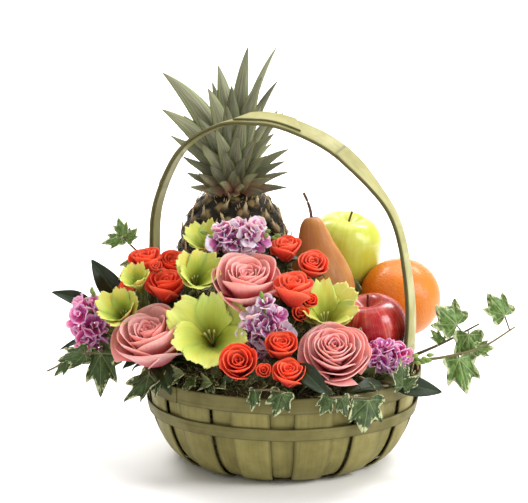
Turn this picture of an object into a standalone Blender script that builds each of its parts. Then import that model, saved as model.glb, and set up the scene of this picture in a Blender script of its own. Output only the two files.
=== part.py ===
"""A splint basket with a hoop handle, filled with fruit, cut flowers and trailing leaves.

Sizes and places below are in millimetres; MM turns them into the scene's metres.
The origin is the middle of the basket's underside, +Z is up, and +X runs along the
handle's plane. The bouquet faces FACING degrees round from -Y, so its pieces are placed
as (across, deep, up): across to the right of someone who stands in front of the bouquet,
deep away from them, and up from the table.
"""

import math
import random

import bmesh
import bpy
from mathutils import Matrix, Vector
from mathutils.bvhtree import BVHTree

MM = 0.001
FACING = 20.0
GAP = 0.4

# Basket
SPLINTS = 14
SPLINT_TURN = 360.0 / SPLINTS
OUTER_SPLINT_TURN = 15.8
INNER_SPLINT_TURN = 10.6
SLIT_TURN = 0.9
SPLINT_THICK = 1.6
INNER_RECESS = 2.6
BASE_RADIUS = 87.0
WALL_FLARE = 55.5
WALL_HEIGHT = 96.0
WALL_FULLNESS = 0.85
WALL_STEPS = 5
BAND_THICK = 2.2
BAND_HEIGHT = 12.5
RIM_BAND_HEIGHT = 16.0
RIM_BAND_TOP = 97.5
HOOP_MIDDLE = 60.0
BAND_SIDES = 42

# Handle
HANDLE_OUTER_THICK = 2.6
HANDLE_INNER_THICK = 2.0
HANDLE_WIDTH = 18.0
HANDLE_FOOT_WIDTH = 26.0
HANDLE_WIDE_BELOW = 150.0
HANDLE_STEPS = 28
SPLICE_THICK = 2.2
SPLICE_LEFT = -56.0
SPLICE_RIGHT = 24.0
# The hoop's middle line in its own plane, from the left foot over the top to the right foot.
HANDLE_PATH = (
    (-128.5, 60), (-134, 98), (-141, 150), (-145, 214), (-139, 265), (-112, 318),
    (-69, 345), (-23, 352.5), (18, 344), (61, 323), (99, 287), (122, 252),
    (134, 200), (138, 152), (134, 98), (128.5, 60),
)

# Pineapple
PINEAPPLE_RADIUS = 65.0
PINEAPPLE_HEIGHT = 176.0
PINEAPPLE_EYES = 16
PINEAPPLE_RINGS = 15
PINEAPPLE_PLACE = (-52, 70, 96)
EYE_RELIEF = 3.4
CROWN_LEAVES = 28
CROWN_LONGEST = 142.0
CROWN_SHORTEST = 44.0
CROWN_STRETCHES = 4
CROWN_WIDTHS = (1.0, 0.9, 0.55)
ARCH_BACK = 14.0
ARCH_NEAR = 24.0
ARCH_FAR = 52.0

# Bed of moss and short greens that fills the basket and carries the bouquet
BED_HEART = (0, 0, 78)
BED_COLUMNS = 24
BED_ROWS = 13
BED_SPREAD = 146.0
BED_RISE = 128.0
BED_FORWARD = 22.0
BED_CLEARANCE = 3.5
BED_FLOOR = 6.0
BED_WALL_ROOM = 9.0
BED_STEP = 2.0
BED_RAYS = 5

IVY_LEAN = 25.0
STEM_THICK = 2.6
STEM_STEPS = 1

COLOURS = {
    "splint_wood": ((0.24, 0.20, 0.075), 0.6),
    "handle_cane": ((0.50, 0.47, 0.20), 0.45),
    "pineapple_rind": ((0.14, 0.09, 0.035), 0.6),
    "pear_skin": ((0.46, 0.17, 0.04), 0.4),
    "green_apple_skin": ((0.50, 0.55, 0.07), 0.25),
    "orange_rind": ((0.85, 0.33, 0.02), 0.4),
    "red_apple_skin": ((0.38, 0.015, 0.03), 0.25),
    "pink_petal": ((0.78, 0.27, 0.27), 0.6),
    "coral_petal": ((0.80, 0.08, 0.03), 0.6),
    "lime_petal": ((0.50, 0.54, 0.08), 0.6),
    "lilac_petal": ((0.50, 0.18, 0.50), 0.6),
    "ivy_leaf": ((0.10, 0.17, 0.04), 0.45),
    "dark_leaf": ((0.02, 0.05, 0.01), 0.3),
    "moss": ((0.10, 0.09, 0.03), 0.9),
}

# name: (across, deep, up), size, yaw, pitch. Size is a bloom's radius; its axis points
# yaw degrees to the right of the viewer and pitch degrees above level.
PINK_ROSES = {
    "pink_rose_left": ((-132, -72, 141), 35, -12, 30),
    "pink_rose_middle": ((-35, -60, 199), 33, 4, 52),
    "pink_rose_right": ((51, -117, 136), 35, 8, 34),
    "pink_rose_back": ((36, 122, 138), 32, 170, 40),
}
SPRAY_ROSES = {
    "spray_rose_left_1": ((-143, -4, 203), 17.5, -20, 60),
    "spray_rose_left_2": ((-112, 2, 199), 16, 20, 40),
    "spray_rose_left_3": ((-117, -36, 184), 19, -5, 35),
    "spray_rose_left_4": ((-168, 2, 172), 12, -40, 40),
    "spray_rose_right_1": ((3, -20, 222), 15, -5, 55),
    "spray_rose_right_2": ((31, -37, 209), 15, 12, 35),
    "spray_rose_right_3": ((12, -80, 192), 19, 5, 45),
    "spray_rose_right_4": ((42, -38, 188), 11, 25, 30),
    "spray_rose_low_1": ((-42, -128, 127), 19, -8, 28),
    "spray_rose_low_2": ((-18, -137, 123), 9, 0, 35),
    "spray_rose_low_3": ((0, -113, 147), 14, 2, 40),
    "spray_rose_low_4": ((6, -138, 119), 16, 6, 28),
    "spray_rose_back_1": ((-22, 134, 126), 18, 185, 35),
    "spray_rose_back_2": ((80, 116, 124), 15, 150, 35),
}
GLADIOLUS = {
    "gladiolus_front": ((-72, -94, 150), 41, -4, 24),
    "gladiolus_middle": ((-84, -52, 205), 22, 25, 38),
    "gladiolus_top": ((-78, -8, 229), 20, -15, 62),
    "gladiolus_left_top": ((-148, -42, 195), 17, -20, 60),
    "gladiolus_left_low": ((-168, -52, 167), 21, -30, 50),
    "gladiolus_right": ((48, -69, 174), 29, 8, 58),
}
# name: (across, deep, up) of the cluster's middle, its half sizes, florets
STOCK = {
    "stock_top": ((-43, -28, 236), (29, 13, 18), 7),
    "stock_left": ((-199, -38, 145), (21, 16, 26), 7),
    "stock_middle": ((-17, -88, 161), (21, 14, 24), 6),
    "stock_right": ((99, -80, 124), (26, 15, 16), 6),
}
# name: base, tip (across, deep, up), width, how far the blade leans back from the viewer
DARK_LEAVES = {
    "leaf_left_high": ((-172, 26, 160), (-201, 24, 203), 27, 15),
    "leaf_left_mid": ((-200, 6, 158), (-240, 0, 174), 17, 30),
    "leaf_left_thin": ((-190, -24, 133), (-229, -32, 120), 8, 40),
    "leaf_left_low": ((-164, -36, 118), (-198, -40, 112), 20, 60),
    "leaf_front": ((23, -134, 113), (35, -151, 102), 12, 30),
    "leaf_right": ((112, -80, 103), (160, -78, 106), 17, 20),
    "leaf_right_low": ((98, -106, 101), (66, -130, 102), 17, 50),
    "leaf_back_left": ((-70, 112, 110), (-92, 158, 106), 30, 130),
    "leaf_back_right": ((12, 122, 106), (14, 170, 104), 30, 120),
}
# Each sprig: how far its blades turn from the viewer to face straight out of the basket,
# its stem's points, then its leaves as (base, tip, width). All are (across, deep, up).
IVY = {
    "ivy_left_top": (
        0.0,
        ((-126, 28, 170), (-147, 20, 206), (-160, 14, 222), (-168, 12, 231)),
        (
            ((-166, 12, 230), (-171, 10, 251), 14),
            ((-163, 13, 226), (-151, 9, 240), 13),
            ((-167, 12, 229), (-190, 14, 222), 16),
            ((-148, 19, 207), (-172, 8, 186), 20),
        ),
    ),
    "ivy_left_low": (
        0.2,
        ((-148, -50, 114), (-180, -56, 123), (-206, -62, 119), (-238, -62, 104)),
        (
            ((-198, -60, 122), (-228, -66, 116), 23),
            ((-216, -63, 115), (-231, -68, 100), 13),
            ((-183, -57, 123), (-184, -74, 80), 33),
        ),
    ),
    "ivy_front_left": (
        0.8,
        ((-112, -70, 106), (-122, -79, 107), (-133, -82, 105)),
        (
            ((-131, -82, 106), (-160, -88, 80), 30),
            ((-122, -79, 108), (-128, -94, 84), 14),
        ),
    ),
    "ivy_front_middle": (
        1.0,
        ((-34, -126, 104), (-26, -146, 107), (-12, -151, 108), (2, -151, 106)),
        (
            ((-26, -147, 107), (-30, -153, 87), 13),
            ((0, -151, 106), (-8, -154, 82), 25),
        ),
    ),
    "ivy_front_right": (
        1.0,
        ((36, -133, 101), (46, -152, 101), (58, -145, 100), (84, -127, 94)),
        (
            ((45, -152, 101), (36, -156, 84), 16),
            ((57, -146, 100), (62, -147, 80), 18),
            ((83, -128, 94), (80, -131, 58), 37),
        ),
    ),
    "ivy_right_front": (
        1.0,
        ((98, -92, 102), (109, -99, 102), (119, -101, 99)),
        (
            ((118, -101, 98), (117, -102, 128), 26),
            ((119, -101, 98), (135, -101, 110), 15),
        ),
    ),
    "ivy_right_high": (
        0.0,
        ((120, -16, 104), (143, -22, 115), (169, -22, 127), (203, -16, 144)),
        (
            ((178, -21, 132), (155, -21, 166), 37),
            ((186, -20, 136), (182, -32, 98), 23),
        ),
    ),
    "ivy_right_low": (
        0.0,
        ((108, -16, 102), (141, -31, 109), (168, -36, 114), (204, -36, 124), (238, -30, 144)),
        (
            ((170, -37, 114), (186, -48, 75), 35),
            ((222, -34, 134), (206, -32, 174), 28),
        ),
    ),
    "ivy_back": (
        1.0,
        ((-30, 112, 104), (-32, 144, 108), (-26, 156, 103)),
        (
            ((-32, 147, 107), (-52, 162, 82), 27),
            ((-27, 154, 104), (-10, 164, 76), 28),
        ),
    ),
}


def bouquet(across, deep, up):
    """A place given from the bouquet's front, in the basket's own frame and in metres."""
    turn = math.radians(FACING)
    x = across * math.cos(turn) - deep * math.sin(turn)
    y = across * math.sin(turn) + deep * math.cos(turn)
    return Vector((x, y, up)) * MM


def bloom_turn(yaw, pitch):
    """The rotation that points a bloom's +Z yaw right of the viewer and pitch above level."""
    return (math.radians(90 - pitch), 0.0, math.radians(FACING + yaw))


def material(name):
    """The named finish as a Principled BSDF, made once."""
    found = bpy.data.materials.get(name)
    if found:
        return found
    colour, roughness = COLOURS[name]
    made = bpy.data.materials.new(name)
    made.use_nodes = True
    made.diffuse_color = (*colour, 1.0)
    shader = made.node_tree.nodes["Principled BSDF"]
    shader.inputs["Base Color"].default_value = (*colour, 1.0)
    shader.inputs["Roughness"].default_value = roughness
    shader.inputs["Metallic"].default_value = 0.0
    return made


def add_object(name, bm, finish, location=(0, 0, 0), rotation=(0, 0, 0), smooth=True):
    """Turns a bmesh in metres into a named object in the basket's collection."""
    mesh = bpy.data.meshes.new(name)
    bm.to_mesh(mesh)
    bm.free()
    if smooth:
        mesh.shade_smooth()
        mesh.set_sharp_from_angle(angle=math.radians(50))
    made = bpy.data.objects.new(name, mesh)
    made.location = location
    made.rotation_euler = rotation
    mesh.materials.append(material(finish))
    parts.objects.link(made)
    return made


def thicken(made, thick, offset=0.0):
    """Solidify, for a piece built as an open sheet."""
    modifier = made.modifiers.new("Thickness", "SOLIDIFY")
    modifier.thickness = thick * MM
    modifier.offset = offset
    modifier.use_even_offset = False
    return made


def smooth_through(points, steps):
    """Points on a Catmull-Rom curve through the given ones, steps to each stretch."""
    vectors = [Vector(point) for point in points]
    padded = [2 * vectors[0] - vectors[1], *vectors, 2 * vectors[-1] - vectors[-2]]
    curve = []
    for i in range(len(vectors) - 1):
        before, start, end, after = padded[i : i + 4]
        for step in range(steps):
            t = step / steps
            curve.append(
                0.5
                * (
                    2 * start
                    + (end - before) * t
                    + (2 * before - 5 * start + 4 * end - after) * t**2
                    + (3 * start - before - 3 * end + after) * t**3
                )
            )
    curve.append(vectors[-1])
    return curve


def shaped_sphere(segments, rings, shape):
    """A UV sphere whose points are moved to shape(row, angle), row 0 at the bottom pole."""
    bm = bmesh.new()
    bmesh.ops.create_uvsphere(bm, u_segments=segments, v_segments=rings, radius=1.0)
    for vert in bm.verts:
        row = rings - round(math.acos(max(-1.0, min(1.0, vert.co.z))) / math.pi * rings)
        angle = math.atan2(vert.co.y, vert.co.x) if 0 < row < rings else 0.0
        vert.co = Vector(shape(row, angle)) * MM
    bmesh.ops.recalc_face_normals(bm, faces=bm.faces)
    return bm


def fuse(name, pieces, finish, solver="EXACT"):
    """One Boolean union of the first piece with all the others, applied to one object."""
    main = pieces[0]
    bpy.context.view_layer.update()
    others = bpy.data.collections.new(name + "_pieces")
    bpy.context.scene.collection.children.link(others)
    for piece in pieces[1:]:
        parts.objects.unlink(piece)
        others.objects.link(piece)
    union = main.modifiers.new("Union", "BOOLEAN")
    union.operation = "UNION"
    union.operand_type = "COLLECTION"
    union.collection = others
    union.solver = solver
    graph = bpy.context.evaluated_depsgraph_get()
    mesh = bpy.data.meshes.new_from_object(main.evaluated_get(graph))
    place = main.matrix_world.copy()
    for piece in [main, *others.objects]:
        bpy.data.objects.remove(piece)
    bpy.data.collections.remove(others)
    mesh.materials.clear()
    mesh.materials.append(material(finish))
    made = bpy.data.objects.new(name, mesh)
    made.matrix_world = place
    parts.objects.link(made)


# ---------------------------------------------------------------- basket


def wall_point(share):
    """(radius, height) of the wall's outer face, share 0 at the base's edge, 1 at the rim."""
    turn = math.radians(90) * share
    radius = BASE_RADIUS + WALL_FLARE * math.sin(turn) ** WALL_FULLNESS
    return radius, WALL_HEIGHT * (1 - math.cos(turn))


def wall_radius(height):
    """The radius of the wall's outer face at a height."""
    share = math.acos(max(0.0, min(1.0, 1 - height / WALL_HEIGHT))) / math.radians(90)
    return wall_point(share)[0]


def splint_star(name, edges, inward, lift):
    """A round base with one splint turned up from each pair of edges, given in degrees."""
    bm = bmesh.new()
    bmesh.ops.create_circle(bm, cap_ends=True, segments=2 * SPLINTS, radius=1.0)
    bm.verts.ensure_lookup_table()
    ring = sorted(bm.verts, key=lambda vert: math.atan2(vert.co.y, vert.co.x) % math.tau)
    corners = sorted(turn % 360 for pair in edges for turn in pair)
    for vert, turn in zip(ring, corners):
        angle = math.radians(turn)
        radius = wall_point(0)[0] - inward
        vert.co = Vector((radius * math.cos(angle), radius * math.sin(angle), lift)) * MM
    starts = {turn % 360 for turn, _ in edges}
    rising = [
        edge
        for edge in bm.edges
        if any(abs(lower_turn(edge) - start) < 0.01 for start in starts)
    ]
    for step in range(1, WALL_STEPS + 1):
        radius, height = wall_point(step / WALL_STEPS)
        height = lift + height * (WALL_HEIGHT - lift) / WALL_HEIGHT
        made = bmesh.ops.extrude_edge_only(bm, edges=rising)["geom"]
        verts = [item for item in made if isinstance(item, bmesh.types.BMVert)]
        for vert in verts:
            angle = math.atan2(vert.co.y, vert.co.x)
            reach = radius - inward
            vert.co = Vector((reach * math.cos(angle), reach * math.sin(angle), height)) * MM
        rising = [
            item
            for item in made
            if isinstance(item, bmesh.types.BMEdge) and set(item.verts) <= set(verts)
        ]
    bmesh.ops.recalc_face_normals(bm, faces=bm.faces)
    made = add_object(name, bm, "splint_wood", smooth=False)
    return made


def lower_turn(edge):
    """The angle in degrees at which an edge of the base's rim starts, going anticlockwise."""
    turns = sorted(math.degrees(math.atan2(v.co.y, v.co.x)) % 360 for v in edge.verts)
    first, second = turns
    return second if second - first > 180 else first


def build_splints():
    front = FACING - 90
    outer = []
    inner = []
    for i in range(SPLINTS):
        middle = front + i * SPLINT_TURN
        start = middle + (SPLINT_TURN - OUTER_SPLINT_TURN) / 2
        outer.append((start, start + OUTER_SPLINT_TURN))
        # Every inner splint leaves a slit on its side away from the front.
        opening = (SPLINT_TURN - OUTER_SPLINT_TURN) / 2
        if i == 0:
            inner.append((middle - INNER_SPLINT_TURN / 2, middle + INNER_SPLINT_TURN / 2))
        elif i < SPLINTS / 2:
            end = middle + opening - SLIT_TURN
            inner.append((end - INNER_SPLINT_TURN, end))
        else:
            start = middle - opening + SLIT_TURN
            inner.append((start, start + INNER_SPLINT_TURN))
    thicken(splint_star("outer_splints", outer, 0.0, 0.0), SPLINT_THICK, -1.0)
    lift = SPLINT_THICK + GAP
    thicken(splint_star("inner_splints", inner, INNER_RECESS, lift), SPLINT_THICK, -1.0)


def build_band(name, middle, height):
    """A flat hoop round the outside of the splints, leaning with the wall."""
    corner = 1 / math.cos(math.pi / BAND_SIDES)
    low = middle - height / 2
    high = middle + height / 2
    bm = bmesh.new()
    bmesh.ops.create_circle(bm, segments=BAND_SIDES, radius=1.0)
    lower = list(bm.verts)
    made = bmesh.ops.extrude_edge_only(bm, edges=bm.edges[:])["geom"]
    upper = [item for item in made if isinstance(item, bmesh.types.BMVert)]
    slope = (wall_radius(high) - wall_radius(low)) / height
    clear = max(0.0, wall_radius(middle) - (wall_radius(low) + wall_radius(high)) / 2)
    for verts, z in ((lower, low), (upper, high)):
        radius = (wall_radius(middle) + clear + slope * (z - middle) + GAP) * corner
        for vert in verts:
            angle = math.atan2(vert.co.y, vert.co.x)
            vert.co = Vector((radius * math.cos(angle), radius * math.sin(angle), z)) * MM
    bmesh.ops.recalc_face_normals(bm, faces=bm.faces)
    thicken(add_object(name, bm, "splint_wood"), BAND_THICK, 1.0)


def handle_line():
    """The handle's middle line as (x, z) points with their outward normals."""
    fine = smooth_through([(x, 0, z) for x, z in HANDLE_PATH], 8)
    picked = [fine[round(i * (len(fine) - 1) / HANDLE_STEPS)] for i in range(HANDLE_STEPS + 1)]
    line = []
    for i, point in enumerate(picked):
        along = picked[min(i + 1, HANDLE_STEPS)] - picked[max(i - 1, 0)]
        line.append((point, Vector((-along.z, 0, along.x)).normalized()))
    return line


def build_strip(name, line, away, thick, trim=0.0):
    """A flat strip along the handle's line, its middle `away` outside that line."""
    steps = len(line) - 1
    bm = bmesh.new()
    bmesh.ops.create_grid(bm, x_segments=1, y_segments=steps, size=1.0)
    for vert in bm.verts:
        row = round((vert.co.y + 1) / 2 * steps)
        side = 1 if vert.co.x > 0 else -1
        point, normal = line[row]
        widen = max(0.0, 1 - (point.z - WALL_HEIGHT) / (HANDLE_WIDE_BELOW - WALL_HEIGHT))
        width = HANDLE_WIDTH + (HANDLE_FOOT_WIDTH - HANDLE_WIDTH) * min(1.0, widen)
        half = width / 2 - trim
        vert.co = (point + normal * away + Vector((0, side * half, 0))) * MM
    bmesh.ops.recalc_face_normals(bm, faces=bm.faces)
    return thicken(add_object(name, bm, "handle_cane"), thick, 0.0)


def build_handle():
    line = handle_line()
    outer_away = (HANDLE_OUTER_THICK + GAP) / 2
    inner_away = -(HANDLE_INNER_THICK + GAP) / 2
    build_strip("handle_outer", line, outer_away, HANDLE_OUTER_THICK)
    build_strip("handle_inner", line, inner_away, HANDLE_INNER_THICK, trim=1.2)
    top = [item for item in line if SPLICE_LEFT < item[0].x < SPLICE_RIGHT]
    splice_away = outer_away + (HANDLE_OUTER_THICK + SPLICE_THICK) / 2 + GAP
    build_strip("handle_splice", top, splice_away, SPLICE_THICK, trim=0.8)


# ---------------------------------------------------------------- fruit


def crown_leaf(index, draw):
    """One leaf of the pineapple's crown: a folded blade, four points round, in its own bmesh."""
    share = index / (CROWN_LEAVES - 1)
    turn = index * math.radians(137.5)
    length = CROWN_LONGEST + (CROWN_SHORTEST - CROWN_LONGEST) * share**1.15
    length *= draw.uniform(0.9, 1.06)
    lean = math.radians(6 + 58 * share**0.8 + draw.uniform(-4, 4))
    curl = math.radians(10 + 34 * share)
    width = 18.0 - 4.0 * share
    out = Vector((math.cos(turn), math.sin(turn), 0))
    side = Vector((-out.y, out.x, 0))
    points = [out * (5 + 12 * share) + Vector((0, 0, PINEAPPLE_HEIGHT + 8 - 14 * share))]
    for step in range(CROWN_STRETCHES):
        bend = lean + curl * (step / (CROWN_STRETCHES - 1)) ** 1.5
        rise = out * math.sin(bend) + Vector((0, 0, math.cos(bend)))
        points.append(points[-1] + rise * length / CROWN_STRETCHES)
    points = [behind_arch(point) for point in points]

    def shape(row, angle):
        if row in (0, CROWN_STRETCHES):
            return points[row]
        along = (points[row + 1] - points[row - 1]).normalized()
        face = side.cross(along)
        half = CROWN_WIDTHS[row - 1] * width / 2
        # Two opposite points are the blade's edges; the others are its two faces, sunk to a fold.
        sink = 0.0 if abs(math.cos(angle)) > 0.5 else -0.30 * half
        return points[row] + side * half * math.cos(angle) + face * (sink + math.sin(angle) * 1.1)

    return shaped_sphere(4, CROWN_STRETCHES, shape)


def behind_arch(point):
    """Bends a point of the crown back where the handle's arch passes in front of it."""
    frame = Matrix.Rotation(math.radians(FACING), 3, "Z")
    base = Vector(PINEAPPLE_PLACE)
    place = frame @ (base + point)
    near = min(math.dist((place.x, place.z), (spot.x, spot.z)) for spot, _ in handle_line())
    share = max(0.0, min(1.0, (ARCH_FAR - near) / (ARCH_FAR - ARCH_NEAR)))
    place.y += max(0.0, ARCH_BACK - place.y) * share
    return frame.inverted() @ place - base


def pineapple_shape(row, angle):
    """The pineapple's body: a barrel covered in a lattice of raised eyes."""
    share = row / PINEAPPLE_RINGS
    turn = math.pi * share
    barrel = math.sin(turn) ** 0.52 * (1 + 0.04 * math.cos(turn))
    height = PINEAPPLE_HEIGHT * (0.5 - 0.5 * math.cos(turn) * (0.72 + 0.28 * math.cos(turn) ** 2))
    if row in (0, PINEAPPLE_RINGS):
        return 0.0, 0.0, height
    column = round(angle / math.tau * 2 * PINEAPPLE_EYES)
    raised = EYE_RELIEF if (column + row) % 2 else -EYE_RELIEF * 0.2
    radius = (PINEAPPLE_RADIUS - EYE_RELIEF) * barrel + raised * min(1.0, 1.6 * math.sin(turn))
    return radius * math.cos(angle), radius * math.sin(angle), height


def build_pineapple():
    draw = random.Random(7)
    place = bouquet(*PINEAPPLE_PLACE)
    turn = (0, 0, math.radians(FACING))
    body = shaped_sphere(2 * PINEAPPLE_EYES, PINEAPPLE_RINGS, pineapple_shape)
    pieces = [add_object("pineapple_body", body, "pineapple_rind", place, turn)]
    heart = bmesh.new()
    bmesh.ops.create_cone(
        heart, cap_ends=True, segments=10, radius1=21 * MM, radius2=7 * MM, depth=44 * MM
    )
    bmesh.ops.translate(heart, verts=heart.verts, vec=(0, 0, (PINEAPPLE_HEIGHT + 8) * MM))
    pieces.append(add_object("pineapple_heart", heart, "pineapple_rind", place, turn))
    for index in range(CROWN_LEAVES):
        leaf = crown_leaf(index, draw)
        pieces.append(add_object(f"crown_{index}", leaf, "pineapple_rind", place, turn))
    fuse("pineapple", pieces, "pineapple_rind")


def fruit_shape(profile, lobes=0, depth=0.0):
    """A turned fruit from (radius, height) rows, its upper rows pulled into soft lobes."""

    def shape(row, angle):
        radius, height = profile[row]
        share = row / (len(profile) - 1)
        swell = 1 + depth * math.cos(lobes * angle) * math.sin(math.pi * share)
        return radius * swell * math.cos(angle), radius * swell * math.sin(angle), height

    return shape


def build_fruit(name, profile, finish, place, segments, lean=(0, 0), lobes=0, depth=0.0):
    """lean tips the fruit's top: degrees to the right, then degrees away from the viewer."""
    bm = shaped_sphere(segments, len(profile) - 1, fruit_shape(profile, lobes, depth))
    rotation = (math.radians(-lean[1]), math.radians(lean[0]), math.radians(FACING))
    add_object(name, bm, finish, bouquet(*place), rotation)


def apple_profile(radius):
    """An apple with a dimple at each end and its stalk standing in the upper one."""
    return [
        (0, -0.74 * radius), (0.30 * radius, -0.88 * radius), (0.62 * radius, -0.76 * radius),
        (0.88 * radius, -0.42 * radius), (radius, 0.05 * radius), (0.95 * radius, 0.45 * radius),
        (0.74 * radius, 0.78 * radius), (0.42 * radius, 0.88 * radius), (0.14 * radius, 0.66 * radius),
        (1.6, 0.60 * radius), (1.5, 0.98 * radius), (0, radius),
    ]


def build_fruits():
    # The pear's rows end in its stalk, which bends a little.
    pear = [
        (0, -33), (15, -34), (27, -26), (33.5, -9), (33, 8), (27.5, 26), (20, 43),
        (15.5, 56), (12, 66), (7, 72), (1.9, 73), (1.6, 86), (2.2, 100), (0, 101),
    ]
    build_fruit("pear", pear, "pear_skin", (41, 15, 178), 16, lean=(-9, 4))
    build_fruit("green_apple", apple_profile(39), "green_apple_skin", (67, 85, 207), 16,
                lean=(6, 14), lobes=5, depth=0.02)
    build_fruit("red_apple", apple_profile(37), "red_apple_skin", (92, -23, 138), 16,
                lean=(-8, -38), lobes=5, depth=0.02)
    rows = 11
    ball = [
        (43.5 * math.sin(math.pi * row / rows), -42 * math.cos(math.pi * row / rows))
        for row in range(rows + 1)
    ]
    build_fruit("orange", ball, "orange_rind", (128, 52, 158), 16, lean=(0, -30))


# ---------------------------------------------------------------- flowers

# Rows of a bloom from its calyx up over the outer petals and down the inside, as
# (radius, height, petals, flare): the last two wave that row in so many petals.
PINK_ROSE_ROWS = (
    (0.0, -0.86, 0, 0), (0.34, -0.80, 0, 0), (0.70, -0.52, 5, 0.02), (0.90, -0.16, 5, 0.04),
    (1.0, 0.16, 5, 0.07), (0.86, 0.12, 5, 0.05), (0.76, 0.42, 5, -0.06), (0.64, 0.24, 5, -0.03),
    (0.52, 0.50, 4, 0.06), (0.38, 0.34, 4, 0), (0.26, 0.54, 3, 0.05), (0.0, 0.38, 0, 0),
)
SPRAY_ROSE_ROWS = (
    (0.0, -1.0, 0, 0), (0.52, -0.80, 0, 0), (0.88, -0.28, 4, 0.04), (0.96, 0.24, 4, 0.07),
    (0.70, 0.26, 4, 0.03), (0.50, 0.56, 4, -0.06), (0.0, 0.40, 0, 0),
)
# A gladiolus bloom: the tube outside, the flared rim, and back down the throat.
GLADIOLUS_ROWS = (
    (0.0, -1.12, 0, 0), (0.13, -1.04, 0, 0), (0.22, -0.62, 0, 0), (0.44, -0.26, 6, 0.04),
    (0.93, 0.02, 6, 0.10), (0.92, 0.10, 6, 0.10), (0.40, -0.12, 6, 0.03), (0.15, -0.42, 0, 0),
    (0.0, -0.60, 0, 0),
)


def bloom(name, place, radius, yaw, pitch, rows, segments, finish):
    """A bloom turned from its rows, with each row waved into petals."""

    def shape(row, angle):
        reach, height, petals, flare = rows[row]
        wave = math.cos(petals * angle + row * 0.9) if petals else 0.0
        reach *= radius * (1 + flare * wave)
        lift = height * radius + abs(flare) * wave * radius
        return reach * math.cos(angle), reach * math.sin(angle), lift

    bm = shaped_sphere(segments, len(rows) - 1, shape)
    add_object(name, bm, finish, bouquet(*place), bloom_turn(yaw, pitch))


def build_blooms():
    for name, placing in PINK_ROSES.items():
        bloom(name, *placing, PINK_ROSE_ROWS, 15, "pink_petal")
    for name, placing in SPRAY_ROSES.items():
        bloom(name, *placing, SPRAY_ROSE_ROWS, 8, "coral_petal")
    for name, placing in GLADIOLUS.items():
        bloom(name, *placing, GLADIOLUS_ROWS, 12, "lime_petal")


def floret_shape(size):
    """A small floret, six points round and three rows high, dished in the middle."""

    def shape(row, angle):
        if row == 0:
            return 0, 0, -0.7 * size
        if row == 3:
            return 0, 0, 0.1 * size
        petal = math.cos(3 * angle)
        reach = size * ((0.40, 1.0)[row - 1] + (0.0, 0.16)[row - 1] * petal)
        return reach * math.cos(angle), reach * math.sin(angle), size * (-0.3, 0.32)[row - 1]

    return shape


def build_stock():
    """Each cluster is a slim core with its florets fused on, spread evenly over it."""
    draw = random.Random(11)
    for name, (place, half, count) in STOCK.items():

        def core_shape(row, angle):
            turn = math.pi * row / 5
            reach = math.sin(turn) * 0.68
            return (
                half[0] * reach * math.cos(angle),
                half[1] * reach * math.sin(angle),
                -half[2] * 0.68 * math.cos(turn),
            )

        origin = bouquet(*place)
        turn = Matrix.Rotation(math.radians(FACING), 4, "Z")
        core = add_object(name + "_core", shaped_sphere(8, 5, core_shape), "lilac_petal",
                          origin, (0, 0, math.radians(FACING)))
        pieces = [core]
        for index in range(count):
            # Florets sit at even steps down the cluster, a golden turn apart, on its front.
            height = 1 - 2 * (index + 0.5) / count
            swing = math.radians(index * 137.5)
            flat = math.sqrt(1 - height**2)
            out = Vector((flat * math.sin(swing), -abs(flat * math.cos(swing)), height))
            size = draw.uniform(8.0, 9.5)
            reach = Vector(out[i] * max(2.0, half[i] - size * 0.55) for i in range(3))
            aim = Vector(out[i] / half[i] for i in range(3)).normalized()
            made = add_object(f"{name}_{index}", shaped_sphere(6, 3, floret_shape(size)), "lilac_petal")
            facing = (turn.to_3x3() @ aim).to_track_quat("Z", "Y").to_matrix().to_4x4()
            made.matrix_world = (
                Matrix.Translation(origin) @ turn @ Matrix.Translation(reach * MM)
                @ turn.inverted() @ facing
            )
            pieces.append(made)
        fuse(name, pieces, "lilac_petal")


# ---------------------------------------------------------------- leaves


def leaf_frame(base, tip, lean, outward=0.0):
    """A leaf's axes: across, along to its tip, and its face, which leans up from the viewer."""
    start = bouquet(*base)
    along = bouquet(*tip) - start
    turn = math.radians(FACING)
    viewer = Vector((math.sin(turn), -math.cos(turn), 0))
    middle = start + along / 2
    out = Vector((middle.x, middle.y, 0)).normalized()
    level = viewer.lerp(out, outward).normalized()
    face = level * math.cos(math.radians(lean)) + Vector((0, 0, 1)) * math.sin(math.radians(lean))
    across = along.cross(face).normalized()
    return start, along, across, across.cross(along).normalized()


def dark_leaf(name, base, tip, width, lean):
    """A broad pointed leaf, folded along its rib and drooping at the tip."""
    start, along, across, face = leaf_frame(base, tip, lean)
    steps = 4
    outline = (0.16, 0.86, 1.0, 0.66, 0.08)
    bm = bmesh.new()
    bmesh.ops.create_grid(bm, x_segments=2, y_segments=steps, size=1.0)
    for vert in bm.verts:
        row = round((vert.co.y + 1) / 2 * steps)
        share = row / steps
        half = outline[row] * width / 2 * MM
        fold = abs(vert.co.x) * half * 0.35
        arch = math.sin(math.pi * share) * along.length * 0.08
        vert.co = start + along * share + across * (vert.co.x * half) + face * (fold + arch)
    bmesh.ops.recalc_face_normals(bm, faces=bm.faces)
    thicken(add_object(name, bm, "dark_leaf"), 1.0)


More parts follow.
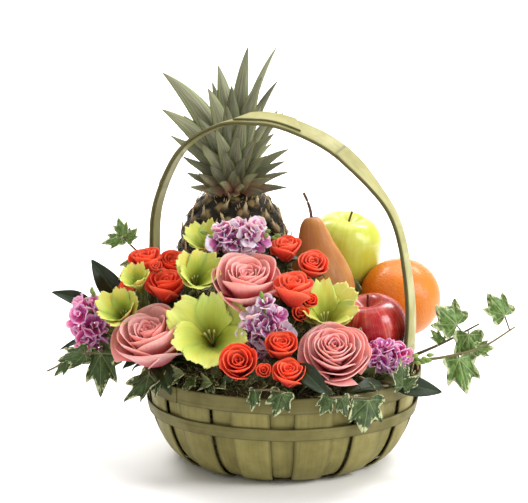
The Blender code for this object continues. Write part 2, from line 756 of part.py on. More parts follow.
def ivy_blade(name, base, tip, width, outward):
    """A lobed ivy leaf: a fan of ten points round its middle, cupped and wavy."""
    start, along, across, face = leaf_frame(base, tip, IVY_LEAN, outward)
    length = along.length
    # (share along, share across) of half the outline, from the tip lobe to the stalk's notch
    side = ((0.58, 0.22), (0.66, 0.50), (0.30, 0.34), (-0.06, 0.40))
    outline = [(1.0, 0.0), *side, (0.04, 0.0), *[(a, -b) for a, b in reversed(side)]]
    bm = bmesh.new()
    bmesh.ops.create_circle(bm, cap_ends=True, cap_tris=True, segments=len(outline), radius=1.0)
    for vert in bm.verts:
        if vert.co.length < 0.5:
            share, out = 0.38, 0.0
        else:
            turn = math.atan2(vert.co.y, vert.co.x) % math.tau
            share, out = outline[round(turn / math.tau * len(outline)) % len(outline)]
        lift = 0.05 * length * math.cos(3 * math.pi * out) - 0.10 * length * share**2
        vert.co = start + along * share + across * (out * width * MM) + face * lift
    bmesh.ops.recalc_face_normals(bm, faces=bm.faces)
    return thicken(add_object(name, bm, "ivy_leaf"), 1.0)


def stem(name, points, thick):
    """A stem as a curve with filled caps, made a mesh so that it can be fused."""
    data = bpy.data.curves.new(name, "CURVE")
    data.dimensions = "3D"
    data.bevel_depth = thick / 2 * MM
    data.bevel_resolution = 0
    data.use_fill_caps = True
    spline = data.splines.new("POLY")
    spline.points.add(len(points) - 1)
    for knot, point in zip(spline.points, points):
        knot.co = (*bouquet(*point), 1.0)
    curve = bpy.data.objects.new(name + "_curve", data)
    parts.objects.link(curve)
    graph = bpy.context.evaluated_depsgraph_get()
    bm = bmesh.new()
    bm.from_mesh(curve.evaluated_get(graph).to_mesh())
    bmesh.ops.remove_doubles(bm, verts=bm.verts, dist=0.00001)
    bmesh.ops.recalc_face_normals(bm, faces=bm.faces)
    made = add_object(name, bm, "ivy_leaf")
    made.matrix_world = curve.matrix_world
    bpy.data.objects.remove(curve)
    return made


def build_leaves():
    for name, placing in DARK_LEAVES.items():
        dark_leaf(name, *placing)
    for name, (outward, points, leaves) in IVY.items():
        pieces = [stem(name + "_stem", smooth_through(points, STEM_STEPS), STEM_THICK)]
        for index, (base, tip, width) in enumerate(leaves):
            pieces.append(ivy_blade(f"{name}_leaf_{index}", base, tip, width, outward))
        fuse(name, pieces, "ivy_leaf", "MANIFOLD")


# ---------------------------------------------------------------- bed


def surroundings():
    """The surfaces of every piece so far, in world space."""
    bpy.context.view_layer.update()
    graph = bpy.context.evaluated_depsgraph_get()
    trees = []
    for piece in parts.objects:
        evaluated = piece.evaluated_get(graph)
        mesh = evaluated.to_mesh()
        points = [evaluated.matrix_world @ vert.co for vert in mesh.vertices]
        faces = [tuple(polygon.vertices) for polygon in mesh.polygons]
        trees.append(BVHTree.FromPolygons(points, faces))
        evaluated.to_mesh_clear()
    return trees


def bed_limit(direction):
    """How far the bed may reach in a direction: inside the wall, and under a low dome."""
    heart = Vector(BED_HEART)
    front = bouquet(0, -BED_FORWARD, 0) / MM
    reach = 0.0
    while reach < 2 * BED_SPREAD:
        point = heart + direction * (reach + BED_STEP)
        flat = math.hypot(point.x, point.y)
        if point.z < BED_FLOOR or flat > BED_SPREAD:
            break
        beside_wall = point.z < WALL_HEIGHT + BED_CLEARANCE
        height = max(0.0, point.z - BED_CLEARANCE)
        if beside_wall and flat > wall_radius(height) - BED_WALL_ROOM:
            break
        offset = math.hypot(point.x - front.x, point.y - front.y) / BED_SPREAD
        rise = (point.z - heart.z) / BED_RISE
        if rise > 0 and offset**2 + rise**2 > 1:
            break
        reach += BED_STEP
    return reach


def build_bed():
    """The bed: as large as fits under the fruit and flowers, with a little room to spare."""
    trees = surroundings()
    heart = Vector(BED_HEART)
    fine = BED_RAYS
    columns = BED_COLUMNS * fine
    rows = BED_ROWS * fine
    reaches = []
    for row in range(rows + 1):
        polar = math.pi * (1 - row / rows)
        line = []
        for column in range(columns):
            turn = math.tau * column / columns
            direction = Vector(
                (math.sin(polar) * math.cos(turn), math.sin(polar) * math.sin(turn), math.cos(polar))
            )
            reach = bed_limit(direction)
            for tree in trees:
                hit = tree.ray_cast(heart * MM, direction, (reach + BED_CLEARANCE) * MM)
                if hit[0] is not None:
                    reach = min(reach, hit[3] / MM - BED_CLEARANCE)
            line.append(reach)
        reaches.append(line)

    def least(row, column):
        """The shortest reach round a point of the coarse mesh."""
        low = max(0, (row - 1) * fine + 1)
        high = min(rows, (row + 1) * fine - 1)
        return min(
            reaches[r][c % columns]
            for r in range(low, high + 1)
            for c in range((column - 1) * fine + 1, (column + 1) * fine)
        )

    def shape(row, angle):
        polar = math.pi * (1 - row / BED_ROWS)
        if row in (0, BED_ROWS):
            reach = min(least(row, column) for column in range(BED_COLUMNS))
            return heart + Vector((0, 0, math.cos(polar))) * reach
        column = round(angle / math.tau * BED_COLUMNS) % BED_COLUMNS
        reach = least(row, column)
        return heart + reach * Vector(
            (math.sin(polar) * math.cos(angle), math.sin(polar) * math.sin(angle), math.cos(polar))
        )

    add_object("moss_bed", shaped_sphere(BED_COLUMNS, BED_ROWS, shape), "moss")


for old in list(bpy.data.objects):
    bpy.data.objects.remove(old)
parts = bpy.data.collections.new("fruit_and_flower_basket")
bpy.context.scene.collection.children.link(parts)

build_splints()
build_band("rim_band", RIM_BAND_TOP - RIM_BAND_HEIGHT / 2, RIM_BAND_HEIGHT)
build_band("lower_hoop", HOOP_MIDDLE, BAND_HEIGHT)
build_handle()
build_pineapple()
build_fruits()
build_blooms()
build_stock()
build_leaves()
build_bed()
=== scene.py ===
"""Dresses the fruit and flower basket around its fixed frame.

Places are given as (across, deep, up) in millimetres, seen from the bouquet's front, which
faces FACING degrees round from -Y; bouquet() turns them into the frame's metres.
"""

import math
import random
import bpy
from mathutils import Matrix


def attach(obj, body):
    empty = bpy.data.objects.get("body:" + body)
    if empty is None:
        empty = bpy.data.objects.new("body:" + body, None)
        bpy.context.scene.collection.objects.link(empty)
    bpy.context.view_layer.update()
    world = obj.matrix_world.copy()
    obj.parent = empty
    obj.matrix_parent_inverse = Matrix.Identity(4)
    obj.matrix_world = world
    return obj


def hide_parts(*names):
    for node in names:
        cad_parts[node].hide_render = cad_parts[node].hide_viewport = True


bl_info = {
    "name": "Fruit and flower basket",
    "version": (1, 0, 0),
    "blender": (4, 5, 0),
    "location": "3D View > Sidebar > Basket",
    "description": "Dresses the splint basket, its fruit, flowers and ivy around their frame",
    "category": "Object",
}

from math import cos, exp, pi, radians, sin

import bmesh
import bpy
from bpy.props import FloatProperty, FloatVectorProperty, IntProperty, PointerProperty
from mathutils import Euler, Matrix, Vector, noise

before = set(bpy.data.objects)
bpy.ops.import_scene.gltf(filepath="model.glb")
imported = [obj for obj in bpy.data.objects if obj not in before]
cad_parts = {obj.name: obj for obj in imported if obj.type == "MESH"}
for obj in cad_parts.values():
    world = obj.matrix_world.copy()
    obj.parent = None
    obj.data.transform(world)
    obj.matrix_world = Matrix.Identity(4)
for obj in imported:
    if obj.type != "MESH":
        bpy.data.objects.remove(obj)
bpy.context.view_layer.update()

MM = 0.001
TAU = math.tau
FACING = 20.0
FACING_TURN = Matrix.Rotation(radians(FACING), 3, "Z")
# The turn from one eye of the pineapple to the next, and from one leaf or floret to the next
EYE_SPIRAL = radians(137.508)
LEAF_SPIRAL = radians(137.5)

# The guides that each kind of finish reads from the meshes it covers
STRIP_GUIDES = ("along", "across", "seed", "edge")
SKIN_GUIDES = ("run", "cos", "sin")
PETAL_GUIDES = ("run", "side", "depth", "tint")
LEAF_GUIDES = ("run", "side", "edge", "tint", "vein")

# ---------------------------------------------------------------- places

# The basket's wall, its bands and the hoop, in millimetres
SPLINTS = 14
SPLINT_TURN = 360.0 / SPLINTS
OUTER_SPLINT_TURN = 15.8
INNER_SPLINT_TURN = 10.6
SLIT_TURN = 0.9
INNER_RECESS = 2.6
BASE_RADIUS = 87.0
WALL_FLARE = 55.5
WALL_HEIGHT = 96.0
WALL_FULLNESS = 0.85
BAND_GAP = 0.4
BAND_LAP = 24.0
# name: node, middle height, height, turn at which its lap lies
BANDS = {
    "rim_hoop": ("rim_band", 89.5, 16.0, -126.0),
    "middle_hoop": ("lower_hoop", 60.0, 12.5, 82.0),
}
STITCHES = (-125.6, 20.5, 22.3, 24.6)
STITCH_HEIGHT = 15.0
HANDLE_PATH = (
    (-128.5, 60), (-134, 98), (-141, 150), (-145, 214), (-139, 265), (-112, 318),
    (-69, 345), (-23, 352.5), (18, 344), (61, 323), (99, 287), (122, 252),
    (134, 200), (138, 152), (134, 98), (128.5, 60),
)
HANDLE_RINGS = (0.285, 0.60, 0.898)
HANDLE_WIDE_BELOW = 215.0
SPLICE = (-46.0, 17.0)

PINEAPPLE_PLACE = (-52, 70, 96)
PINEAPPLE_RADIUS = 66.0
PINEAPPLE_HEIGHT = 176.0
EYES = 190
CROWN_LEAVES = 28
CROWN_WIDTH = 0.0225
CROWN_LENGTHS = (142.0, 44.0)

# Crown leaves of the near side: the tip's (across, up) from the crown's foot, how far it lies
# in front of the stem, and the leaf's width.
CROWN_BLADES = (
    (-76, 125, 4, 25), (-77, 87, 12, 22), (-70, 59, 18, 15), (-57, 37, 24, 13), (-54, 20, 28, 13),
    (-50, 5, 28, 12), (-27, 110, 22, 21), (-17, 133, 2, 21), (15, 152, -6, 18), (46, 152, -20, 9),
    (30, 121, 8, 18), (47, 116, -8, 11), (48, 86, 4, 11), (43, 62, 22, 17), (59, 45, 14, 13),
    (55, 33, 24, 12), (58, 21, 20, 12), (57, 5, 24, 12), (-8, 94, 28, 18), (12, 86, 30, 18),
    (-40, 80, 26, 18), (30, 94, 20, 17), (-20, 68, 36, 18), (4, 62, 40, 17), (24, 58, 36, 16),
    (-38, 52, 34, 16), (-10, 44, 44, 17), (14, 40, 44, 16), (36, 40, 34, 15), (-28, 30, 42, 15),
    (2, 26, 48, 16), (26, 22, 44, 14), (-42, 20, 38, 14), (-14, 13, 50, 15), (12, 9, 52, 14),
    (42, 16, 36, 13), (-32, 4, 44, 13), (34, 2, 42, 13), (-2, 112, 10, 19), (2, -2, 50, 12),
)

# name: (across, deep, up), radius, yaw to the right of the viewer, pitch above level
PINK_ROSES = {
    "pink_rose_left": ((-131, -72, 140), 39, -30, 60),
    "pink_rose_middle": ((-35, -60, 196), 35, 2, 62),
    "pink_rose_right": ((50, -116, 137), 34.5, 2, 50),
    "pink_rose_back": ((36, 122, 138), 32, 170, 40),
}
SPRAY_ROSES = {
    "spray_rose_left_1": ((-142, -4, 205), 18, -20, 72),
    "spray_rose_left_2": ((-115, 2, 200), 18, 20, 60),
    "spray_rose_left_3": ((-118, -36, 184), 22, -5, 70),
    "spray_rose_left_4": ((-157, 0, 176), 13, -30, 44),
    "spray_rose_right_1": ((3, -20, 221), 17, -5, 72),
    "spray_rose_right_2": ((30, -37, 207), 17, 12, 52),
    "spray_rose_right_3": ((11, -80, 190), 22, 5, 72),
    "spray_rose_right_4": ((38, -40, 181), 11.5, 25, 30),
    "spray_rose_low_1": ((-42, -128, 127), 20, -8, 42),
    "spray_rose_low_2": ((-18, -137, 123), 9, 0, 35),
    "spray_rose_low_3": ((-1, -116, 141), 17, 2, 60),
    "spray_rose_low_4": ((6, -138, 119), 17, 6, 62),
    "spray_rose_back_1": ((-22, 134, 126), 18, 185, 35),
    "spray_rose_back_2": ((80, 116, 124), 15, 150, 35),
}
# Buds between the blooms, in the same terms
BUDS = (
    ((17, -84, 168), 11, 10, 40), ((27, -70, 178), 10, 20, 40), ((-98, -40, 168), 9, 0, 50),
    ((-128, -34, 206), 8, -10, 50),
)
# the last number opens the bloom: 0 a closed cup, 1 a wide face
GLADIOLUS = {
    "gladiolus_front": ((-72, -94, 152), 44, -4, 34, 0.9),
    "gladiolus_middle": ((-85, -52, 202), 29, 16, 45, 0.5),
    "gladiolus_top": ((-79, -8, 229), 27, -15, 60, 0.5),
    "gladiolus_left_top": ((-148, -42, 194), 20, -20, 55, 0.45),
    "gladiolus_left_low": ((-164, -52, 165), 27, -20, 40, 0.5),
    "gladiolus_right": ((45, -70, 171), 35, 8, 56, 0.8),
}
# name: (across, deep, up) of the cluster's middle, its half sizes, florets, buds
STOCK = {
    "stock_top": ((-46, -28, 236), (33, 14, 22), 21, 6),
    "stock_left": ((-196, -38, 145), (22, 17, 32), 20, 6),
    "stock_middle": ((-17, -97, 153), (25, 16, 31), 22, 8),
    "stock_right": ((101, -80, 124), (30, 16, 19), 20, 16),
}
# name: base, tip, width, how far the blade leans back from the viewer
DARK_LEAVES = {
    "leaf_left_high": ((-172, 26, 160), (-201, 24, 203), 27, 15),
    "leaf_left_mid": ((-200, 6, 158), (-240, 0, 174), 17, 30),
    "leaf_left_thin": ((-190, -24, 133), (-229, -32, 120), 8, 40),
    "leaf_left_low": ((-164, -36, 118), (-198, -40, 112), 20, 60),
    "leaf_front": ((15, -133, 127), (45, -153, 103), 21, 22),
    "leaf_right": ((110, -88, 100), (159, -88, 90), 22, 16),
    "leaf_right_low": ((98, -106, 101), (66, -130, 102), 17, 50),
    "leaf_back_left": ((-70, 112, 110), (-92, 158, 106), 30, 130),
    "leaf_back_right": ((12, 122, 106), (14, 170, 104), 30, 120),
}
# Each sprig: how far its blades face out of the basket, its stem, then (base, tip, width)
IVY = {
    "ivy_left_top": (
        0.0, ((-126, 28, 170), (-147, 20, 206), (-160, 14, 222), (-168, 12, 231)),
        (
            ((-166, 12, 230), (-171, 10, 251), 14), ((-163, 13, 226), (-151, 9, 240), 13),
            ((-167, 12, 229), (-190, 14, 222), 16), ((-148, 19, 207), (-172, 8, 186), 20),
        ),
    ),
    "ivy_left_low": (
        0.2, ((-148, -50, 114), (-180, -56, 123), (-206, -62, 119), (-238, -62, 104)),
        (
            ((-198, -60, 122), (-228, -66, 116), 23), ((-216, -63, 115), (-231, -68, 100), 13),
            ((-183, -57, 123), (-184, -74, 80), 33),
        ),
    ),
    "ivy_front_left": (
        0.8, ((-72, -106, 106), (-88, -98, 107), (-106, -86, 108), (-122, -79, 107), (-133, -82, 105)),
        (
            ((-131, -82, 106), (-160, -88, 80), 30), ((-122, -79, 108), (-128, -94, 84), 14),
            ((-104, -84, 108), (-114, -102, 97), 15), ((-90, -98, 107), (-94, -116, 97), 14),
            ((-74, -108, 107), (-66, -126, 98), 15),
        ),
    ),
    "ivy_front_middle": (
        1.0, ((-34, -126, 104), (-26, -146, 107), (-12, -151, 108), (2, -151, 106)),
        (
            ((-26, -147, 107), (-30, -153, 87), 13), ((0, -151, 106), (-8, -154, 82), 25),
        ),
    ),
    "ivy_front_right": (
        1.0, ((36, -133, 101), (46, -152, 101), (58, -145, 100), (84, -127, 94)),
        (
            ((45, -152, 101), (36, -156, 84), 16), ((57, -146, 100), (62, -147, 80), 18),
            ((83, -128, 94), (80, -131, 58), 37),
        ),
    ),
    "ivy_right_front": (
        1.0, ((98, -92, 102), (109, -99, 102), (119, -101, 99)),
        (
            ((118, -101, 98), (117, -102, 128), 26), ((119, -101, 98), (135, -101, 110), 15),
        ),
    ),
    "ivy_right_high": (
        0.0, ((120, -16, 104), (143, -22, 115), (169, -22, 127), (203, -16, 144)),
        (
            ((180, -21, 143), (157, -21, 165), 36), ((191, -24, 136), (193, -34, 99), 32),
            ((164, -22, 126), (152, -24, 140), 11),
        ),
    ),
    "ivy_right_low": (
        0.0, ((108, -16, 102), (141, -31, 109), (168, -36, 114), (204, -36, 124), (238, -30, 144)),
        (
            ((180, -37, 114), (189, -46, 76), 32), ((227, -34, 156), (208, -32, 180), 27),
            ((198, -36, 122), (217, -38, 124), 17),
        ),
    ),
    "ivy_back": (
        1.0, ((-30, 112, 104), (-32, 144, 108), (-26, 156, 103)),
        (
            ((-32, 147, 107), (-52, 162, 82), 27), ((-27, 154, 104), (-10, 164, 76), 28),
        ),
    ),
}
IVY_LEAN = 25.0
# The lobes' tips, as shares of the blade's length and width
IVY_TIPS = ((1.0, 0.0), (0.67, 0.50), (0.67, -0.50), (0.04, 0.50), (0.04, -0.50))
# Leaves that stand between the blooms and close the view through them: base, tip, width
FILLER_BLADES = (
    ((-118, -20, 120), (-134, -14, 186), 28), ((-98, -30, 120), (-112, -36, 178), 28),
    ((-88, -6, 130), (-98, -18, 196), 26), ((-138, -20, 120), (-158, -16, 178), 24),
    ((-62, -30, 130), (-62, -36, 186), 28), ((-20, -50, 130), (-6, -66, 176), 26),
    ((18, -60, 120), (20, -70, 182), 26), ((72, -56, 104), (78, -66, 150), 24),
    ((44, -30, 130), (54, -40, 186), 22), ((80, -84, 100), (92, -98, 118), 18),
    ((-150, -40, 110), (-166, -46, 140), 22), ((-70, -50, 108), (-78, -66, 126), 24),
    ((-112, -66, 100), (-98, -104, 112), 22), ((-80, -90, 98), (-70, -124, 108), 22),
    ((-60, -100, 98), (-56, -134, 106), 20), ((20, -100, 98), (24, -138, 112), 20),
    ((-18, -104, 98), (-16, -138, 110), 18), ((58, -100, 98), (76, -126, 104), 20),
    ((92, -80, 98), (116, -96, 104), 20), ((4, -90, 110), (-2, -104, 142), 22),
    ((-30, -90, 110), (-36, -110, 140), 20), ((36, -80, 110), (34, -92, 150), 22),
    ((-146, -30, 126), (-150, -28, 178), 28), ((-168, -40, 106), (-186, -36, 142), 24),
    ((-150, -30, 150), (-140, -26, 190), 22), ((-176, -30, 120), (-176, -34, 152), 22),
    ((100, -40, 104), (118, -44, 132), 20), ((-6, -120, 100), (4, -146, 106), 16),
    ((34, -120, 100), (48, -146, 104), 18), ((70, -100, 100), (92, -122, 100), 20),
    ((-138, -16, 130), (-134, -14, 190), 24), ((77, 46, 130), (77, 48, 178), 34),
    ((116, -54, 96), (132, -62, 115), 22), ((108, -70, 98), (124, -80, 113), 20),
)

# Rings of a rose from its heart outwards: petals, reach and height of the rim as shares of
# the bloom's radius, half width in degrees, and how far the rim rolls back.
OPEN_RINGS = (
    (2, 0.07, 0.42, 125, 0.0), (3, 0.14, 0.46, 105, 0.0), (3, 0.22, 0.49, 98, 0.05),
    (3, 0.31, 0.50, 92, 0.1), (3, 0.41, 0.49, 88, 0.15), (4, 0.52, 0.45, 80, 0.25),
    (4, 0.65, 0.38, 78, 0.4), (4, 0.79, 0.27, 78, 0.6), (5, 0.93, 0.12, 68, 0.9),
)
CUPPED_RINGS = (
    (2, 0.07, 0.30, 125, 0.0), (3, 0.13, 0.36, 100, 0.0), (3, 0.21, 0.41, 92, 0.05),
    (3, 0.30, 0.46, 86, 0.05), (3, 0.42, 0.50, 84, 0.1), (3, 0.57, 0.53, 84, 0.2),
    (3, 0.76, 0.51, 84, 0.4), (3, 0.93, 0.34, 84, 0.8),
)
SPRAY_RINGS = (
    (2, 0.11, 0.50, 125, 0.0), (3, 0.24, 0.62, 100, 0.05), (3, 0.42, 0.68, 92, 0.15),
    (3, 0.62, 0.68, 88, 0.3), (3, 0.82, 0.56, 88, 0.6),
)
BUD_RINGS = ((2, 0.16, 0.55, 120, 0.0), (3, 0.42, 0.62, 84, 0.1), (3, 0.72, 0.50, 76, 0.2))
FLORET_RINGS = ((2, 0.28, 0.40, 66, 0.3), (4, 0.95, 0.16, 46, 1.0))

# Where the blooms' foliage, their stems and the other stems run together, in metres
BOUQUET_HEART = Vector((0, 0, 0.13))
BLOOM_ROOT = Vector((0, 0, 0.085))
STEM_ROOT = Vector((0, 0, 0.09))
# Strands and small leaves grow on the bed above this height
BED_TOP = 0.070
STOCK_STEM = 0.0017
LEAF_STEM = 0.0009
BUD_RADII = (0.0012, 0.0024, 0.0021, 0.0008)

# Profiles of the pear, in millimetres, and of the apples, in shares of their radius
PEAR_ROWS = (
    (0, -33), (15, -34), (27, -26), (33.5, -9), (33, 8), (27.5, 26), (20, 43),
    (15.5, 56), (12, 66), (7, 72), (2.5, 72.5), (0, 71),
)
APPLE_ROWS = (
    (0, -0.74), (0.12, -0.80), (0.30, -0.88), (0.62, -0.76), (0.88, -0.42), (1.0, 0.05),
    (0.94, 0.46), (0.73, 0.77), (0.43, 0.89), (0.16, 0.74), (0.05, 0.62), (0, 0.61),
)

# Pores of a skin: how many to the metre, their size and their depth in metres
SMOOTH_PORES = (700.0, 0.2, 0.00002)
ROUGH_PORES = (800.0, 0.25, 0.00003)
PEEL_PORES = (430.0, 0.62, 0.00035)

# Lights in metres from the bouquet's front: place, size, share of the key's power, aim
LIGHTS = {
    "key_light": ((1.85, -1.1, 1.55), 1.1, 1.0, (0, 0, 0.18)),
    "fill_light": ((-1.2, -1.8, 1.0), 1.8, 0.15, (0, 0, 0.18)),
    "side_light": ((2.0, -0.6, 0.7), 0.9, 0.34, (0, 0, 0.18)),
    "top_light": ((0.1, 0.3, 2.2), 1.8, 0.50, (0, 0, 0.18)),
    "backdrop_light_left": ((-1.4, 1.2, 2.6), 1.5, 3.4, (-0.6, 3.4, 0.5)),
    "backdrop_light_right": ((1.4, 1.2, 2.6), 1.5, 3.4, (0.6, 3.4, 0.5)),
}
STUDIO_AIR = (1.0, 0.965, 0.90)
STUDIO_GLOW = 0.45
# The camera's tilt below level and turn to the left, in degrees
CAMERA_DOWN = 9.82
CAMERA_LEFT = 0.650


# ---------------------------------------------------------------- geometry helpers


def lerp(low, high, share):
    return low + (high - low) * share


def polar(radius, turn, height):
    """A point at this reach and angle round the upright axis."""
    return Vector((radius * cos(turn), radius * sin(turn), height))


def ease(low, high, value):
    """0 below low, 1 above high, and a soft step between them."""
    share = max(0.0, min(1.0, (value - low) / (high - low)))
    return share * share * (3 - 2 * share)


def arc(start, belly, end, share):
    """A number on the quadratic curve from start to end, pulled towards belly."""
    rest = 1 - share
    return start * rest**2 + 2 * belly * rest * share + end * share**2


def bouquet(across, deep, up):
    """A place given from the bouquet's front, in the frame's metres."""
    turn = radians(FACING)
    x = across * cos(turn) - deep * sin(turn)
    y = across * sin(turn) + deep * cos(turn)
    return Vector((x, y, up)) * MM


def bloom_frame(place, yaw, pitch):
    """The matrix whose +Z is the axis of a bloom at this place."""
    turn = Euler((radians(90 - pitch), 0.0, radians(FACING + yaw)))
    return Matrix.Translation(bouquet(*place)) @ turn.to_matrix().to_4x4()


def smooth_through(points, steps):
    """Points on a Catmull-Rom curve through the given ones, steps to each stretch."""
    vectors = [Vector(point) for point in points]
    padded = [2 * vectors[0] - vectors[1], *vectors, 2 * vectors[-1] - vectors[-2]]
    curve = []
    for i in range(len(vectors) - 1):
        before, start, end, after = padded[i : i + 4]
        for step in range(steps):
            t = step / steps
            bend = 2 * before - 5 * start + 4 * end - after
            twist = 3 * start - before - 3 * end + after
            curve.append(0.5 * (2 * start + (end - before) * t + bend * t**2 + twist * t**3))
    curve.append(vectors[-1])
    return curve


def along_curve(curve, share):
    """The point a share of the way along a list of points."""
    spot = max(0.0, min(1.0, share)) * (len(curve) - 1)
    low = min(int(spot), len(curve) - 2)
    return curve[low].lerp(curve[low + 1], spot - low)


def place_mesh(name, bm, finish):
    """Makes a smooth-shaded object out of a bmesh, in one finish."""
    mesh = bpy.data.meshes.new(name)
    bm.to_mesh(mesh)
    bm.free()
    mesh.shade_smooth()
    mesh.materials.append(finish)
    made = bpy.data.objects.new(name, mesh)
    bpy.context.scene.collection.objects.link(made)
    return made


class Mould:
    """The mesh of one piece in the making, with the guides that its finish reads."""

    def __init__(self, *guides):
        self.bm = bmesh.new()
        self.guides = guides
        self.place = Matrix.Identity(4)
        for guide in guides:
            self.bm.verts.layers.float.new(guide)

    def settle(self, vert, point, values):
        vert.co = self.place @ Vector(point)
        for guide, value in zip(self.guides, values):
            vert[self.bm.verts.layers.float[guide]] = value

    def sheet(self, across, along, shape):
        """Adds a grid; shape(u, v), u from -1 to 1 and v from 0 to 1, gives point and guides."""
        made = bmesh.ops.create_grid(self.bm, x_segments=across, y_segments=along, size=1.0)
        for vert in made["verts"]:
            point, *values = shape(vert.co.x, (vert.co.y + 1) / 2)
            self.settle(vert, point, values)

    def rod(self, points, radii, sides, *values):
        """Adds a round stem through the points, with rounded ends."""
        last = len(points) - 1
        along = [(points[min(i + 1, last)] - points[max(i - 1, 0)]).normalized() for i in range(last + 1)]

        def shape(u, v):
            i = round(v * (last + 2)) - 1
            spot = min(max(i, 0), last)
            radius = radii[spot] if 0 <= i <= last else 0.0
            flat = along[spot].orthogonal().normalized()
            level = Vector((0, 0, 1)).cross(along[spot])
            if level.length > 0.2:
                flat = level.normalized()
            side = along[spot].cross(flat)
            turn = pi * u
            ring = flat * cos(turn) + side * sin(turn)
            return points[spot] + ring * radius, *values

        self.sheet(sides, last + 2, shape)

    def stem(self, points, steps, radius, sides, *values):
        """Adds a smooth stem of even thickness through the points."""
        curve = smooth_through(points, steps)
        self.rod(curve, [radius] * len(curve), sides, *values)

    def turned(self, rows, sides, swell=None):
        """Adds a turned form from (radius, height) rows in metres; the guides are run, cos, sin."""

        def shape(u, v):
            row = along_curve(rows, v)
            turn = pi * u
            radius = row.x * (swell(turn, v) if swell else 1.0)
            return polar(radius, turn, row.y), v, cos(turn), sin(turn)

        self.sheet(sides, len(rows) - 1, shape)

    def piece(self, name, finish, slot, nodes=(), thick=0.0, bevel=0.0):
        """Turns the mould into a finished piece that stands for the given nodes."""
        bmesh.ops.remove_doubles(self.bm, verts=self.bm.verts, dist=2e-6)
        bmesh.ops.recalc_face_normals(self.bm, faces=self.bm.faces)
        piece = place_mesh(name, self.bm, finish)
        if thick:
            solid = piece.modifiers.new("Thickness", "SOLIDIFY")
            solid.thickness = thick
            solid.offset = 0.0
        if bevel:
            soft = piece.modifiers.new("Soft edges", "BEVEL")
            soft.width = bevel
            soft.segments = 2
            soft.angle_limit = radians(50)
        return register_piece(piece, nodes)


def register_piece(piece, nodes=()):
    """Sets a piece on its body and hides the nodes that it stands for."""
    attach(piece, "root")
    if nodes:
        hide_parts(*nodes)
    return piece


# ---------------------------------------------------------------- shader helpers


def put(tree, kind, inputs=None, **settings):
    """Adds a node; inputs maps a socket to a value or to another node's output."""
    made = tree.nodes.new(kind)
    for key, value in settings.items():
        setattr(made, key, value)
    for key, value in (inputs or {}).items():
        if isinstance(value, bpy.types.NodeSocket):
            tree.links.new(value, made.inputs[key])
        else:
            made.inputs[key].default_value = value
    return made


def sums(tree, operation, first, second=0.0):
    return put(tree, "ShaderNodeMath", {0: first, 1: second}, operation=operation).outputs[0]


def times(tree, first, second):
    return sums(tree, "MULTIPLY", first, second)


def plus(tree, first, second):
    return sums(tree, "ADD", first, second)


def minus(tree, first, second):
    return sums(tree, "SUBTRACT", first, second)


def step(tree, value, low, high, start=0.0, end=1.0):
    """A soft step from start to end as the value goes from low to high."""
    made = put(
        tree, "ShaderNodeMapRange", {"Value": value, "From Min": low, "From Max": high,
                                     "To Min": start, "To Max": end},
        interpolation_type="SMOOTHSTEP",
    )
    return made.outputs["Result"]


def mixed(tree, share, first, second):
    """One colour mixed into another."""
    return put(tree, "ShaderNodeMix", {0: share, 6: first, 7: second}, data_type="RGBA").outputs[2]


def lit(tree, colour, value):
    """A colour made brighter or darker."""
    return put(tree, "ShaderNodeHueSaturation", {"Color": colour, "Value": value}).outputs[0]


def object_place(tree):
    """The place on the piece, in its own metres."""
    return put(tree, "ShaderNodeTexCoord").outputs["Object"]


def cloud(tree, vector, scale, detail=3.0, roughness=0.55, distortion=0.0):
    made = put(
        tree, "ShaderNodeTexNoise",
        {"Vector": vector, "Scale": scale, "Detail": detail, "Roughness": roughness,
         "Distortion": distortion},
    )
    return made.outputs["Fac"]


def guide(tree, name):
    """The value of one of a mould's guides."""
    return put(tree, "ShaderNodeAttribute", attribute_name=name).outputs["Fac"]


def guides(tree, names):
    """The guides as inputs of a group, whose sockets bear the same names."""
    return {name.capitalize(): guide(tree, name) for name in names}


def triple(tree, x, y, z):
    return put(tree, "ShaderNodeCombineXYZ", {0: x, 1: y, 2: z}).outputs[0]


def effect(name, inputs, outputs, wire):
    """A shader node group, built once; wire returns the socket behind each output."""
    found = bpy.data.node_groups.get(name)
    if found:
        return found
    tree = bpy.data.node_groups.new(name, "ShaderNodeTree")
    for label, default in inputs:
        kind = "NodeSocketColor" if isinstance(default, tuple) else "NodeSocketFloat"
        socket = tree.interface.new_socket(name=label, in_out="INPUT", socket_type=kind)
        socket.default_value = default
    for label in outputs:
        kind = "NodeSocketColor" if label == "Colour" else "NodeSocketFloat"
        tree.interface.new_socket(name=label, in_out="OUTPUT", socket_type=kind)
    start = tree.nodes.new("NodeGroupInput")
    end = tree.nodes.new("NodeGroupOutput")
    for label, socket in wire(tree, start.outputs).items():
        tree.links.new(socket, end.inputs[label])
    return tree


def place_effect(tree, group, inputs):
    """Places a node group in a material with its own values."""
    return put(tree, "ShaderNodeGroup", inputs, node_tree=group).outputs


def rgba(colour):
    return (*tuple(colour)[:3], 1.0)


def scaled(colour, share):
    return [value * share for value in colour]


